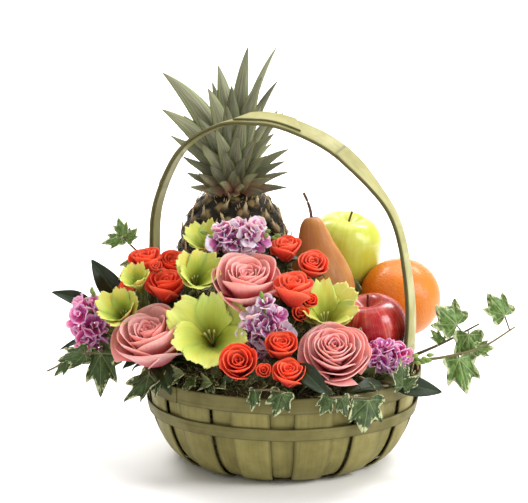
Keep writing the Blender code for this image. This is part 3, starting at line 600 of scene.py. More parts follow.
def grain_effect():
    """Long fibres of split wood or cane, from millimetres along and across the strip."""

    def wire(tree, given):
        seed = times(tree, given["Seed"], 7.0)
        long, fine, broad = (
            triple(tree, times(tree, given["Along"], along), times(tree, given["Across"], across), seed)
            for along, across in ((0.014, 0.5), (0.05, 2.4), (0.012, 0.05))
        )
        streaks = cloud(tree, long, 1.0, 4.0, 0.5, 0.3)
        fibres = cloud(tree, fine, 1.0, 2.0)
        tone = cloud(tree, broad, 1.0, 2.0)
        blotch = cloud(tree, object_place(tree), 45.0, 4.0, 0.6)
        weight = times(tree, streaks, 0.18)
        weight = plus(tree, weight, times(tree, fibres, 0.12))
        weight = plus(tree, weight, times(tree, tone, 0.25))
        weight = plus(tree, weight, times(tree, blotch, 0.45))
        share = step(tree, weight, 0.34, 0.66)
        height = plus(tree, streaks, times(tree, fibres, 0.5))
        return {"Colour": mixed(tree, share, given["Dark"], given["Light"]), "Height": height,
                "Wear": share}

    inputs = (("Along", 0.0), ("Across", 0.0), ("Seed", 0.0), ("Dark", (0.2, 0.15, 0.05, 1.0)),
              ("Light", (0.4, 0.35, 0.15, 1.0)))
    return effect("Split wood grain", inputs, ("Colour", "Height", "Wear"), wire)


def petal_effect():
    """A petal's blush from its heart to its rim, with fine veins along it."""

    def wire(tree, given):
        spread = plus(tree, times(tree, given["Run"], 0.8), 0.35)
        veins = triple(tree, times(tree, times(tree, given["Side"], spread), 9.0),
                       times(tree, given["Run"], 1.3), times(tree, given["Tint"], 13.0))
        lines = cloud(tree, veins, 2.2, 3.0, 0.6)
        soft = triple(tree, given["Side"], given["Run"], times(tree, given["Tint"], 31.0))
        patch = cloud(tree, soft, 1.6, 2.0)
        run = plus(tree, given["Run"], times(tree, minus(tree, patch, 0.5), 0.35))
        inward = times(tree, minus(tree, 1.0, given["Depth"]), given["Deepen"])
        body_run = minus(tree, run, inward)
        body = mixed(tree, step(tree, body_run, 0.15, 0.85), given["Heart"], given["Body"])
        rim_run = plus(tree, run, times(tree, given["Depth"], given["Fade"]))
        rim = step(tree, rim_run, given["Rim from"], 1.12)
        blush = mixed(tree, rim, body, given["Rim"])
        shade = step(tree, lines, 0.30, 0.70, 0.94, 1.04)
        shade = times(tree, shade, plus(tree, times(tree, given["Tint"], 0.14), 0.93))
        colour = lit(tree, blush, shade)
        return {"Colour": colour, "Height": lines}

    inputs = (("Run", 0.5), ("Side", 0.0), ("Depth", 0.5), ("Tint", 0.5),
              ("Heart", (0.6, 0.05, 0.05, 1.0)), ("Body", (0.8, 0.3, 0.3, 1.0)),
              ("Rim", (0.9, 0.6, 0.5, 1.0)), ("Rim from", 0.75), ("Fade", 0.0), ("Deepen", 0.0))
    return effect("Petal blush", inputs, ("Colour", "Height"), wire)


def leaf_effect():
    """A leaf's green with paler veins and a margin of its own colour."""

    def wire(tree, given):
        spot = triple(tree, times(tree, given["Side"], 3.0), times(tree, given["Run"], 3.0),
                      times(tree, given["Tint"], 17.0))
        patch = cloud(tree, spot, 1.9, 4.0, 0.65)
        fine = cloud(tree, spot, 9.0, 2.0)
        ragged = plus(tree, given["Edge"], times(tree, minus(tree, patch, 0.5), 1.5))
        green = mixed(tree, step(tree, patch, 0.35, 0.68), given["Dark"], given["Green"])
        margin = step(tree, ragged, given["Margin from"], plus(tree, given["Margin from"], 0.12))
        coloured = mixed(tree, margin, green, given["Margin"])
        vein = step(tree, given["Vein"], 0.45, 0.95)
        vein_share = times(tree, vein, 0.50)
        coloured = mixed(tree, vein_share, coloured, given["Vein colour"])
        height = plus(tree, times(tree, vein, -0.8), times(tree, fine, 0.35))
        return {"Colour": coloured, "Height": height, "Patch": patch}

    inputs = (("Run", 0.5), ("Side", 0.0), ("Edge", 0.0), ("Vein", 0.0), ("Tint", 0.5),
              ("Dark", (0.01, 0.03, 0.01, 1.0)), ("Green", (0.05, 0.12, 0.02, 1.0)),
              ("Margin", (0.6, 0.6, 0.4, 1.0)), ("Margin from", 2.0),
              ("Vein colour", (0.2, 0.3, 0.1, 1.0)))
    return effect("Leaf veins and margin", inputs, ("Colour", "Height", "Patch"), wire)


def speckle_effect():
    """Small round marks scattered over a skin, as a mask."""

    def wire(tree, given):
        where = object_place(tree)
        cells = put(tree, "ShaderNodeTexVoronoi", {"Vector": where, "Scale": given["Scale"]})
        some = put(tree, "ShaderNodeSeparateColor", {0: cells.outputs["Color"]}).outputs[0]
        size = times(tree, given["Size"], plus(tree, some, 0.35))
        mark = minus(tree, 1.0, step(tree, cells.outputs["Distance"], 0.0, size))
        return {"Mask": mark}

    return effect("Skin speckles", (("Scale", 300.0), ("Size", 0.3)), ("Mask",), wire)


def mottle_effect():
    """Soft patches of two sizes over the whole surface, from 0 to 1."""

    def wire(tree, given):
        where = object_place(tree)
        large = cloud(tree, where, given["Scale"], 4.0, 0.6)
        small = cloud(tree, where, times(tree, given["Scale"], 6.0), 3.0)
        both = plus(tree, times(tree, large, 0.65), times(tree, small, 0.35))
        return {"Value": step(tree, both, 0.34, 0.66)}

    return effect("Mottle", (("Scale", 20.0),), ("Value",), wire)


def mottled(tree, scale):
    return place_effect(tree, mottle_effect(), {"Scale": scale})["Value"]


def start_finish(name, roughness, **uniform):
    """A new material's (material, tree, shader), with its even values on the shader itself."""
    made = bpy.data.materials.new(name)
    made.use_nodes = True
    tree = made.node_tree
    shader = tree.nodes["Principled BSDF"]
    shader.inputs["Roughness"].default_value = roughness
    for key, value in uniform.items():
        shader.inputs[key.replace("_", " ")].default_value = value
    return made, tree, shader


def dress(tree, shader, colour, height=None, depth=0.0001, strength=0.5, roughness=None):
    """Links a colour, a bump of a given depth and a roughness to the shader."""
    tree.links.new(colour, shader.inputs["Base Color"])
    if height is not None:
        bump = put(tree, "ShaderNodeBump", {"Height": height, "Distance": depth, "Strength": strength})
        tree.links.new(bump.outputs[0], shader.inputs["Normal"])
    if roughness is not None:
        tree.links.new(roughness, shader.inputs["Roughness"])


def wood_finish(name, dark, light, roughness, depth, edge=0.0, ring=None):
    """Split wood or cane; the side guide darkens the strip's edges, as painted shade where the strips meet,
    and ring its joints.
    """
    made, tree, shader = start_finish(name, roughness, Specular_IOR_Level=0.25)
    grain = place_effect(tree, grain_effect(), {
        **guides(tree, STRIP_GUIDES[:3]), "Dark": rgba(dark), "Light": rgba(light),
    })
    colour = grain["Colour"]
    tone = step(tree, guide(tree, "seed"), 0.0, 1.0, 0.90, 1.08)
    colour = lit(tree, colour, tone)
    # Painted shade: the strip's edges darken towards a dark copy of its colour, where the strips meet.
    if edge:
        side = step(tree, guide(tree, "edge"), 0.80, 1.0, 0.0, edge)
        colour = mixed(tree, side, colour, rgba(scaled(dark, 0.35)))
    if ring is not None:
        joint = times(tree, guide(tree, "ring"), 0.7)
        colour = mixed(tree, joint, colour, rgba(ring))
    rough = step(tree, grain["Wear"], 0.0, 1.0, roughness + 0.12, roughness - 0.06)
    dress(tree, shader, colour, grain["Height"], depth, 0.6, rough)
    return made


def petal_finish(name, heart, body, rim, rim_from, fade=0.0, deepen=0.0, roughness=0.55):
    made, tree, shader = start_finish(name, roughness, Sheen_Weight=0.05, Sheen_Roughness=0.5,
                                       Specular_IOR_Level=0.25, Subsurface_Weight=0.4,
                                       Subsurface_Scale=0.006)
    blush = place_effect(tree, petal_effect(), {
        **guides(tree, PETAL_GUIDES), "Heart": rgba(heart), "Body": rgba(body), "Rim": rgba(rim),
        "Rim from": rim_from, "Fade": fade, "Deepen": deepen,
    })
    dress(tree, shader, blush["Colour"], blush["Height"], 0.00018, 0.4)
    return made


def leaf_finish(name, dark, green, vein, margin=(0.5, 0.5, 0.3), margin_from=3.0, roughness=0.4):
    made, tree, shader = start_finish(name, roughness, Specular_IOR_Level=0.35)
    leaf = place_effect(tree, leaf_effect(), {
        **guides(tree, LEAF_GUIDES), "Dark": rgba(dark), "Green": rgba(green),
        "Vein colour": rgba(vein), "Margin": rgba(margin), "Margin from": margin_from,
    })
    rough = step(tree, leaf["Patch"], 0.3, 0.7, roughness - 0.06, roughness + 0.10)
    dress(tree, shader, leaf["Colour"], leaf["Height"], 0.0004, 0.6, rough)
    return made


def skin_finish(name, roughness, base, blush, marks, streak, pores, coat=0.0):
    """A fruit's skin. base and blush mix along streaks; marks are (colour, scale, size)."""
    made, tree, shader = start_finish(name, roughness, Coat_Roughness=0.15, Specular_IOR_Level=0.35)
    shader.inputs["Coat Weight"].default_value = coat
    run = guide(tree, "run")
    spot = triple(tree, times(tree, guide(tree, "cos"), streak[0]),
                  times(tree, guide(tree, "sin"), streak[0]), times(tree, run, streak[1]))
    streaks = cloud(tree, spot, 1.0, 5.0, 0.65)
    patches = mottled(tree, 14.0)
    share = plus(tree, times(tree, streaks, 0.6), times(tree, patches, 0.22))
    share = plus(tree, share, step(tree, run, streak[2], streak[3], 0.0, 0.45))
    colour = mixed(tree, step(tree, share, 0.34, 0.66), rgba(base), rgba(blush))
    dots = place_effect(tree, speckle_effect(), {"Scale": marks[1], "Size": marks[2]})["Mask"]
    colour = mixed(tree, times(tree, dots, 0.55), colour, rgba(marks[0]))
    dimple = place_effect(tree, speckle_effect(), {"Scale": pores[0], "Size": pores[1]})["Mask"]
    height = minus(tree, times(tree, patches, 0.3), dimple)
    rough = step(tree, patches, 0.0, 1.0, roughness - 0.04, roughness + 0.06)
    dress(tree, shader, colour, height, pores[2], 0.8, rough)
    return made


# ---------------------------------------------------------------- settings


def colour_setting(name, description, default):
    return FloatVectorProperty(name=name, description=description, default=default, size=3,
                               min=0.0, max=1.0, subtype="COLOR")


def length_setting(name, description, default, low, high):
    return FloatProperty(name=name, description=description, default=default, min=low, max=high,
                         unit="LENGTH")


class BasketSettings(bpy.types.PropertyGroup):
    """Sizes and colours of the splint basket and its hoop."""

    splint_thick: length_setting("Splint thickness", "Thickness of one splint", 0.0016, 0.0005, 0.004)
    handle_thick: length_setting("Hoop thickness", "Thickness of the hoop's outer strip",
                                 0.0026, 0.001, 0.006)
    handle_width: length_setting("Hoop width", "Width of the hoop over the fruit", 0.021, 0.008, 0.03)
    foot_width: length_setting("Foot width", "Width of the hoop where it meets the rim", 0.034, 0.01, 0.04)
    splint_dark: colour_setting("Splint shade", "Dark fibres of the splints", (0.172, 0.148, 0.043))
    splint_light: colour_setting("Splint colour", "Light fibres of the splints", (0.272, 0.238, 0.077))
    cane_dark: colour_setting("Hoop shade", "Dark fibres of the hoop", (0.28, 0.26, 0.092))
    cane_light: colour_setting("Hoop colour", "Light fibres of the hoop", (0.43, 0.405, 0.175))


class FruitSettings(bpy.types.PropertyGroup):
    """Sizes and colours of the fruit."""

    eye_relief: length_setting("Eye relief", "How far the pineapple's eyes stand out", 0.0042, 0.001, 0.008)
    crown_width: length_setting("Top leaf width", "Width of the pineapple's longest leaves",
                                CROWN_WIDTH, 0.008, 0.03)
    rind: colour_setting("Pineapple rind", "Colour of the eyes", (0.20, 0.14, 0.055))
    crown: colour_setting("Top leaf green", "Colour of the pineapple's leaves", (0.275, 0.28, 0.175))
    pear: colour_setting("Pear", "Colour of the pear's skin", (0.42, 0.150, 0.034))
    green_apple: colour_setting("Green apple", "Colour of the green apple", (0.45, 0.49, 0.05))
    red_apple: colour_setting("Red apple", "Colour of the red apple", (0.36, 0.008, 0.014))
    orange: colour_setting("Orange", "Colour of the orange's peel", (0.63, 0.160, 0.005))


class FlowerSettings(bpy.types.PropertyGroup):
    """Sizes and colours of the flowers."""

    petal_thick: length_setting("Petal thickness", "Thickness of a petal", 0.00045, 0.0002, 0.001)
    pink: colour_setting("Pink rose", "Body of the large roses' petals", (0.77, 0.198, 0.220))
    coral: colour_setting("Spray rose", "Body of the spray roses' petals", (0.82, 0.042, 0.022))
    lime: colour_setting("Gladiolus", "Body of the gladiolus petals", (0.57, 0.59, 0.10))
    lilac: colour_setting("Stock", "Body of the stock florets", (0.66, 0.33, 0.48))


class GreensSettings(bpy.types.PropertyGroup):
    """Sizes and colours of the leaves and the moss."""

    leaf_thick: length_setting("Leaf thickness", "Thickness of a leaf blade", 0.0007, 0.0003, 0.002)
    ivy_green: colour_setting("Ivy green", "Green of the ivy leaves", (0.06, 0.11, 0.022))
    ivy_margin: colour_setting("Ivy margin", "Pale margin of the ivy leaves", (0.47, 0.49, 0.27))
    dark_green: colour_setting("Leaf green", "Green of the broad dark leaves", (0.016, 0.034, 0.008))
    moss: colour_setting("Moss", "Colour of the moss", (0.42, 0.38, 0.14))
    tufts: IntProperty(name="Moss tufts", description="Strands of moss over the bed", default=7000,
                       min=0, max=20000)
    fillers: IntProperty(name="Filler leaves", description="Small leaves over the bed", default=420,
                         min=0, max=600)


class StageSettings(bpy.types.PropertyGroup):
    """The camera, floor and lights."""

    lens: FloatProperty(name="Lens", description="Focal length of the camera", default=114.1,
                        min=20.0, max=300.0, subtype="DISTANCE_CAMERA")
    distance: length_setting("Distance", "Level distance from the basket's middle", 1.707, 0.5, 5.0)
    rise: FloatProperty(name="Height", description="Height of the camera", default=0.512,
                        min=0.0, max=3.0, unit="LENGTH")
    floor: colour_setting("Floor", "Colour of the floor", (0.93, 0.93, 0.93))
    key: FloatProperty(name="Key light", description="Power of the main light", default=38.0,
                       min=0.0, unit="POWER")


SETTINGS = {
    "basket_look": BasketSettings,
    "fruit_look": FruitSettings,
    "flower_look": FlowerSettings,
    "greens_look": GreensSettings,
    "stage_look": StageSettings,
}


# ---------------------------------------------------------------- basket


def wall_point(share):
    """(radius, height) of the wall's outer face, in millimetres."""
    turn = radians(90) * share
    radius = BASE_RADIUS + WALL_FLARE * sin(turn) ** WALL_FULLNESS
    return radius, WALL_HEIGHT * (1 - cos(turn))


def wall_radius(height):
    share = math.acos(max(0.0, min(1.0, 1 - height / WALL_HEIGHT))) / radians(90)
    return wall_point(share)[0]


def splint_turns():
    """(outer, inner) pairs of start and end angles; the inner ones leave a slit beside them."""
    outer = []
    inner = []
    opening = (SPLINT_TURN - OUTER_SPLINT_TURN) / 2
    for i in range(SPLINTS):
        middle = FACING - 90 + i * SPLINT_TURN
        outer.append((middle + opening, middle + opening + OUTER_SPLINT_TURN))
        if i == 0:
            inner.append((middle - INNER_SPLINT_TURN / 2, middle + INNER_SPLINT_TURN / 2))
        elif i < SPLINTS / 2:
            end = middle + opening - SLIT_TURN
            inner.append((end - INNER_SPLINT_TURN, end))
        else:
            start = middle - opening + SLIT_TURN
            inner.append((start, start + INNER_SPLINT_TURN))
    return outer, inner


def lay_splint(mould, turns, inward, lift, seed, draw):
    """One curved splint, a little uneven along its edges."""
    start, end = turns
    phase = draw.uniform(0, TAU)

    def shape(u, v):
        share = 0.02 + 0.98 * v
        radius, height = wall_point(share)
        height = lift + height * (WALL_HEIGHT - lift) / WALL_HEIGHT
        ragged = 0.10 * sin(9 * v + phase) * abs(u)
        turn = radians(lerp(start, end, (u + 1) / 2) + ragged)
        reach = radius - inward - 0.35 * u * u
        point = polar(reach, turn, height) * MM
        half = radians(end - start) / 2 * radius
        return point, v * 128.0, u * half, seed, abs(u)

    mould.sheet(6, 20, shape)


def lay_base(mould, thick):
    """The round base, cut from boards that lie side by side."""

    def shape(u, v):
        turn = pi * u
        reach = (BASE_RADIUS + 1.5) * v * MM
        point = polar(reach, turn, thick / 2)
        return point, point.x / MM, point.y / MM, 0.4, v * 0.7

    mould.sheet(56, 6, shape)


def band_mould(middle, tall, lap_turn, thick):
    """A hoop round the splints whose end laps over its start."""
    low = middle - tall / 2
    high = middle + tall / 2
    slope = (wall_radius(high) - wall_radius(low)) / tall
    clear = max(0.0, wall_radius(middle) - (wall_radius(low) + wall_radius(high)) / 2)
    inner = wall_radius(middle) + clear + BAND_GAP + 0.2
    start = radians(lap_turn)
    length = TAU + BAND_LAP / inner
    mould = Mould(*STRIP_GUIDES)

    def shape(u, v):
        turn = start + v * length
        over = ease(TAU - 0.02, TAU + 0.04, v * length)
        wave = 0.25 * sin(7 * turn) + 0.15 * sin(17 * turn)
        z = middle + u * tall / 2 + wave
        bow = 0.3 * (1 - u * u)
        radius = inner + thick / MM / 2 + slope * (z - middle) + over * (thick / MM + 0.15) + bow
        point = polar(radius, turn, z) * MM
        return point, v * 900.0, u * tall / 2, 0.5, abs(u)

    mould.sheet(4, 240, shape)
    return mould


def stitch(mould, turn, middle, tall):
    """A short dark lashing through the rim band."""
    turn = radians(turn)
    points = []
    for share in (-0.5, -0.38, 0.0, 0.38, 0.5):
        z = middle + tall * share
        radius = wall_radius(min(z, WALL_HEIGHT)) + (2.0 if abs(share) < 0.45 else 0.6)
        points.append(polar(radius, turn, z) * MM)
    mould.stem(points, 3, 0.0008, 6, 0.5, 0.0, 0.5, 0.5)


def handle_curve():
    return smooth_through([(x, 0, z) for x, z in HANDLE_PATH], 16)


def handle_spot(curve, share):
    """(point, outward normal) of the hoop's middle line."""
    point = along_curve(curve, share)
    ahead = along_curve(curve, share + 0.004) - along_curve(curve, share - 0.004)
    return point, Vector((-ahead.z, 0, ahead.x)).normalized()


def handle_strip(curve, reach, away, widths, trim, crown, steps, slant=0.0):
    """A strip of the hoop from share reach[0] to reach[1], with the cane's joint rings.

    slant cuts its ends so that the near edge is the longer one.
    """
    mould = Mould(*STRIP_GUIDES, "ring")
    narrow, wide = widths

    def shape(u, v):
        share = lerp(reach[0], reach[1], v) + slant * u * (1 - 2 * v)
        point, normal = handle_spot(curve, share)
        widen = max(0.0, 1 - (point.z - WALL_HEIGHT) / (HANDLE_WIDE_BELOW - WALL_HEIGHT))
        half = lerp(narrow, wide, min(1.0, widen)) / 2 - trim
        half += 0.25 * sin(37 * share) * min(1.0, widen * 3 + 0.4)
        ring = 0.0
        ridge = 0.0
        for joint in HANDLE_RINGS:
            near = (share - joint) / 0.0024
            ring = max(ring, exp(-(near**2)))
            ridge += 0.55 * exp(-(((share - joint - 0.004) / 0.004) ** 2))
            ridge -= 0.35 * exp(-(near**2))
        rise = away + crown * (1 - u * u) + ridge * (1 if crown else 0)
        sag = 0.5 * sin(11 * share) * crown
        tilt = 0.40 * ease(-70, -25, point.x) * (1 - ease(70, 118, point.x))
        lean = u * half + sag * 0.4
        place = (point + normal * (rise + lean * tilt) + Vector((0, lean, 0))) * MM
        return place, share * 1050.0, u * half, 0.3 + 0.4 * reach[0], abs(u), ring

    mould.sheet(6, steps, shape)
    return mould


class BASKET_OT_splints(bpy.types.Operator):
    """Builds the upright splints, the base and the two bands round them"""

    bl_idname = "basket.splints"
    bl_label = "Splints and bands"

    def execute(self, context):
        look = context.scene.basket_look
        draw = random.Random(3)
        outer, inner = splint_turns()
        thick = look.splint_thick
        # The last number of each wood finish darkens the strips' edges: painted shade where the splints and
        # hoops meet.
        wood = wood_finish("Stained splints", look.splint_dark, look.splint_light, 0.55, 0.00025, 0.5)
        # The inner splints take a darker copy of the splints' colours: painted shade for their recess behind
        # the outer splints.
        back = wood_finish("Inner splints with painted shade", scaled(look.splint_dark, 0.85),
                           scaled(look.splint_light, 0.9), 0.6, 0.0002, 0.5)
        hoops = wood_finish("Stained hoops", scaled(look.splint_dark, 0.62),
                            scaled(look.splint_light, 0.67), 0.6, 0.0002, 0.75)
        mould = Mould(*STRIP_GUIDES)
        for turns in outer:
            lay_splint(mould, turns, thick / MM / 2, thick / MM / 2, draw.random(), draw)
        lay_base(mould, thick)
        mould.piece("upright_splints", wood, "splint_wood", ["outer_splints"], thick, bevel=0.0003)
        mould = Mould(*STRIP_GUIDES)
        for turns in inner:
            inward = INNER_RECESS + thick / MM / 2
            lay_splint(mould, turns, inward, thick / MM * 1.5 + 0.4, draw.random(), draw)
        mould.piece("inner_uprights", back, "splint_wood", ["inner_splints"], thick, bevel=0.0003)
        mould = Mould(*SKIN_GUIDES)
        rows = [Vector(wall_point(0.05 + 0.75 * i / 14)) for i in range(15)]
        mould.turned([Vector((row.x - 7.5, row.y + 3.0)) * MM for row in rows], 84)
        mould.piece("basket_lining", moss_finish(context.scene.greens_look.moss), "moss", (), 0.001)
        for name, (node, middle, tall, lap_turn) in BANDS.items():
            mould = band_mould(middle, tall, lap_turn, 0.0012)
            mould.piece(name, hoops, "splint_wood", [node], 0.0012, bevel=0.0003)
        mould = Mould(*STRIP_GUIDES)
        for turn in STITCHES:
            stitch(mould, turn, BANDS["rim_hoop"][1], STITCH_HEIGHT)
        dark = wood_finish("Dark lashing", (0.02, 0.012, 0.008), (0.05, 0.03, 0.018), 0.6, 0.0001)
        mould.piece("rim_stitches", dark, "splint_wood")
        return {"FINISHED"}


class BASKET_OT_handle(bpy.types.Operator):
    """Builds the cane hoop: an outer and an inner strip, and the lap over its top"""

    bl_idname = "basket.handle"
    bl_label = "Hoop handle"

    def execute(self, context):
        look = context.scene.basket_look
        widths = (look.handle_width / MM, look.foot_width / MM)
        curve = handle_curve()
        # 0.85 darkens the hoop strips' edges: painted shade where the outer and inner strips meet.
        cane = wood_finish("Cane hoop", look.cane_dark, look.cane_light, 0.42, 0.0002, 0.85,
                           scaled(look.cane_dark, 0.45))
        outer = handle_strip(curve, (0, 1), 1.0, widths, 0.0, 0.7, 320)
        outer.piece("hoop_outer", cane, "handle_cane", ["handle_outer"], look.handle_thick * 0.8,
                    bevel=0.0004)
        inner = handle_strip(curve, (0, 1), -1.3, widths, 1.2, 0.0, 240)
        inner.piece("hoop_inner", cane, "handle_cane", ["handle_inner"], 0.0018, bevel=0.0004)
        shares = [i / 400 for i in range(401)]
        top = [share for share in shares if SPLICE[0] < along_curve(curve, share).x < SPLICE[1]]
        lap = handle_strip(curve, (top[0], top[-1]), 3.8, widths, 2.4, 0.35, 70, 0.010)
        lap.piece("hoop_lap", cane, "handle_cane", ["handle_splice"], 0.0019, bevel=0.0004)
        return {"FINISHED"}


# ---------------------------------------------------------------- fruit


def barrel(share):
    """(radius, height) of the pineapple's body in millimetres, share 0 at its foot."""
    turn = pi * share
    width = sin(turn) ** 0.48 * (1 + 0.03 * cos(turn))
    height = 0.5 - 0.5 * cos(turn) * (0.72 + 0.28 * cos(turn) ** 2)
    return PINEAPPLE_RADIUS * width, PINEAPPLE_HEIGHT * height


def pineapple_place():
    return Matrix.Translation(bouquet(*PINEAPPLE_PLACE)) @ FACING_TURN.to_4x4()


def eye_spots():
    """(share, turn, half width) of eyes that spiral up the barrel, each on an equal patch."""
    fine = [Vector(barrel(i / 400)) for i in range(401)]
    patches = [0.0]
    for before, after in zip(fine, fine[1:]):
        ring = pi * (before.x + after.x)
        patches.append(patches[-1] + ring * (after - before).length)
    half = math.sqrt(patches[-1] / EYES) / 2
    spots = []
    at = 0
    for index in range(EYES):
        target = patches[-1] * (index + 0.5) / EYES
        while patches[at] < target:
            at += 1
        spots.append((at / 400, index * EYE_SPIRAL, half))
    return spots


def eye(mould, share, turn, half, relief, draw):
    """One eye of the pineapple: a domed plate and the dry pointed bract that rises from it."""
    radius, height = barrel(share)
    above = barrel(min(0.99, share + 0.02))
    below = barrel(max(0.01, share - 0.02))
    out = polar(1, turn, 0)
    side = Vector((-sin(turn), cos(turn), 0))
    slope = (out * (above[0] - below[0]) + Vector((0, 0, above[1] - below[1]))).normalized()
    face = side.cross(slope).normalized()
    middle = out * radius + Vector((0, 0, height)) - face * relief * 1.25
    tint = draw.random()
    lean = draw.uniform(-0.6, 0.6)
    spiky = draw.uniform(0.75, 1.4)
    round_here = max(radius, 25.0)

    def plate(u, v):
        angle = pi * u
        x = cos(angle)
        y = sin(angle)
        edge = 1.12 / (abs(x) ** 1.7 + abs(y) ** 1.7) ** (1 / 1.7)
        edge *= 1 + 0.05 * sin(5 * angle + tint * 9)
        dome = relief * (1 - v**2.6) + 0.5 * sin(9 * angle + tint * 6) * v * (1 - v) * 2
        drop = (v * half * edge * x) ** 2 / (2 * round_here)
        point = middle + side * (half * v * edge * x) + slope * (half * 0.9 * v * edge * y)
        return (point + face * (dome - drop)) * MM, v, y, tint, 0.0

    def bract(u, v):
        width = 3.7 * (1 - v) ** 0.75 * (1 + 0.30 * sin(9 * v + tint * 9))
        rise = -0.55 * half + v * half * 1.55 * spiky
        stand = relief * (0.85 + 0.25 * sin(pi * v * 0.9)) + 3.4 * v * v * spiky
        stand += 0.8 * (1 - u * u)
        drop = (u * width) ** 2 / (2 * round_here)
        point = middle + side * (u * width + lean * (rise + half)) + slope * rise
        return (point + face * (stand + 0.4 - drop)) * MM, v, u, tint, 1.0

    def spike(u, v):
        x, y, z = thorn
        wide = 0.9 * (1 - v)
        spot = middle + side * (x + u * wide + x * 0.35 * v) + slope * (y + 4.5 * v * y / half)
        return (spot + face * (relief * 0.4 + z * v)) * MM, 0.4 + 0.6 * v, u, tint, 1.0

    mould.sheet(14, 5, plate)
    mould.sheet(4, 6, bract)
    for _ in range(5):
        swing = draw.uniform(0, TAU)
        thorn = (cos(swing) * half * 0.8, sin(swing) * half * 0.8, draw.uniform(2.0, 6.0))
        mould.sheet(2, 3, spike)


def rind_finish(rind):
    """The eyes: tan and olive plates that darken at their edges into near-black furrows, partly the rind's
    own darker colour and partly painted shade, with dry pale bracts.
    """
    made, tree, shader = start_finish("Pineapple rind", 0.6, Specular_IOR_Level=0.2)
    run = guide(tree, "run")
    where = object_place(tree)
    blotch = cloud(tree, where, 160.0, 5.0, 0.7)
    patches = mottled(tree, 70.0)
    olive = rgba((rind[0] * 0.55, rind[1] * 0.80, rind[2] * 0.9))
    plate = mixed(tree, patches, olive, rgba(rind))
    rosy = mixed(tree, guide(tree, "tint"), rgba((0.36, 0.20, 0.10)), rgba((0.19, 0.15, 0.04)))
    plate = mixed(tree, step(tree, run, 0.25, 0.75, 0.85, 0.0), plate, rosy)
    # Each plate darkens towards its edge into near-black: partly the rind's own darker furrows, partly
    # painted shade between the eyes.
    dark = plus(tree, run, times(tree, minus(tree, blotch, 0.5), 0.9))
    plate = mixed(tree, step(tree, dark, 0.38, 0.78), plate, rgba((0.014, 0.011, 0.005)))
    dry = mixed(tree, step(tree, run, 0.05, 0.75), rgba((0.06, 0.035, 0.012)), rgba((0.55, 0.43, 0.25)))
    dry = mixed(tree, step(tree, blotch, 0.52, 0.66, 0.0, 0.7), dry, rgba((0.09, 0.055, 0.025)))
    colour = mixed(tree, guide(tree, "bract"), plate, dry)
    dress(tree, shader, colour, blotch, 0.0012, 0.8)
    return made


def hoop_distance(spot, line):
    return min(math.dist((spot.x, spot.z), (point.x, point.z)) for point in line)


def behind_hoop(point, line):
    """Bends a point of the crown back where the hoop passes in front of it."""
    base = Vector(PINEAPPLE_PLACE)
    place = FACING_TURN @ (base + point)
    share = max(0.0, min(1.0, (52.0 - hoop_distance(place, line)) / 28.0))
    place.y += max(0.0, 14.0 - place.y) * share
    return FACING_TURN.inverted() @ place - base


def crown_blade(mould, foot, tip, width, line, draw):
    """One broad channelled leaf of the crown from foot to tip, rising before it leans out."""
    foot = Vector(foot)
    tip = Vector(tip)
    length = (tip - foot).length
    out = Vector((tip.x - foot.x, tip.y - foot.y, 0))
    knee = foot.lerp(tip, 0.5) - out * 0.16 + Vector((0, 0, length * 0.10))
    points = []
    for index in range(13):
        share = index / 12
        points.append(arc(foot, knee, tip, share))
    points = [behind_hoop(point, line) for point in points]
    tint = draw.random()
    twist = draw.uniform(-0.35, 0.35)
    toward = Vector((0, -0.85 if tip.y < 25 else 0.6, 0.35))
    if out.length > 1:
        toward += out.normalized() * -0.15

    def shape(u, v):
        spot = along_curve(points, v)
        ahead = (along_curve(points, v + 0.05) - along_curve(points, v - 0.05)).normalized()
        across = ahead.cross(toward).normalized()
        across = Matrix.Rotation(twist * (0.2 + v), 3, ahead) @ across
        face = across.cross(ahead)
        half = width / 2 * (0.74 + 0.26 * ease(0, 0.35, v)) * (1 - v**2.1) ** 0.95
        if abs(u) > 0.99 and round(v * 34) % 2:
            half += 0.4 * (1 - v)
        channel = (abs(u) ** 1.5 - 1) * half * 0.30
        point = spot + across * (u * half) - face * channel
        return point * MM, v, u, tint, 1 - (tip.z - PINEAPPLE_HEIGHT) / 160

    mould.sheet(6, 34, shape)


def crown_leaf(mould, index, count, width, line, draw, stretch=1.0):
    """One leaf of the crown's far side, in a spiral that loosens towards the foot."""
    share = index / (count - 1)
    turn = index * LEAF_SPIRAL
    length = lerp(*CROWN_LENGTHS, share**1.15) * draw.uniform(0.9, 1.06) * stretch
    lean = radians(14 + 52 * share**0.8 + draw.uniform(-4, 4))
    out = polar(1, turn, 0)
    foot = out * 8 + Vector((0, 0, PINEAPPLE_HEIGHT + 26 * (1 - share) - 4))
    tip = foot + (out * sin(lean) + Vector((0, 0, cos(lean)))) * length
    crown_blade(mould, foot, tip, width * lerp(1.0, 0.66, share), line, draw)


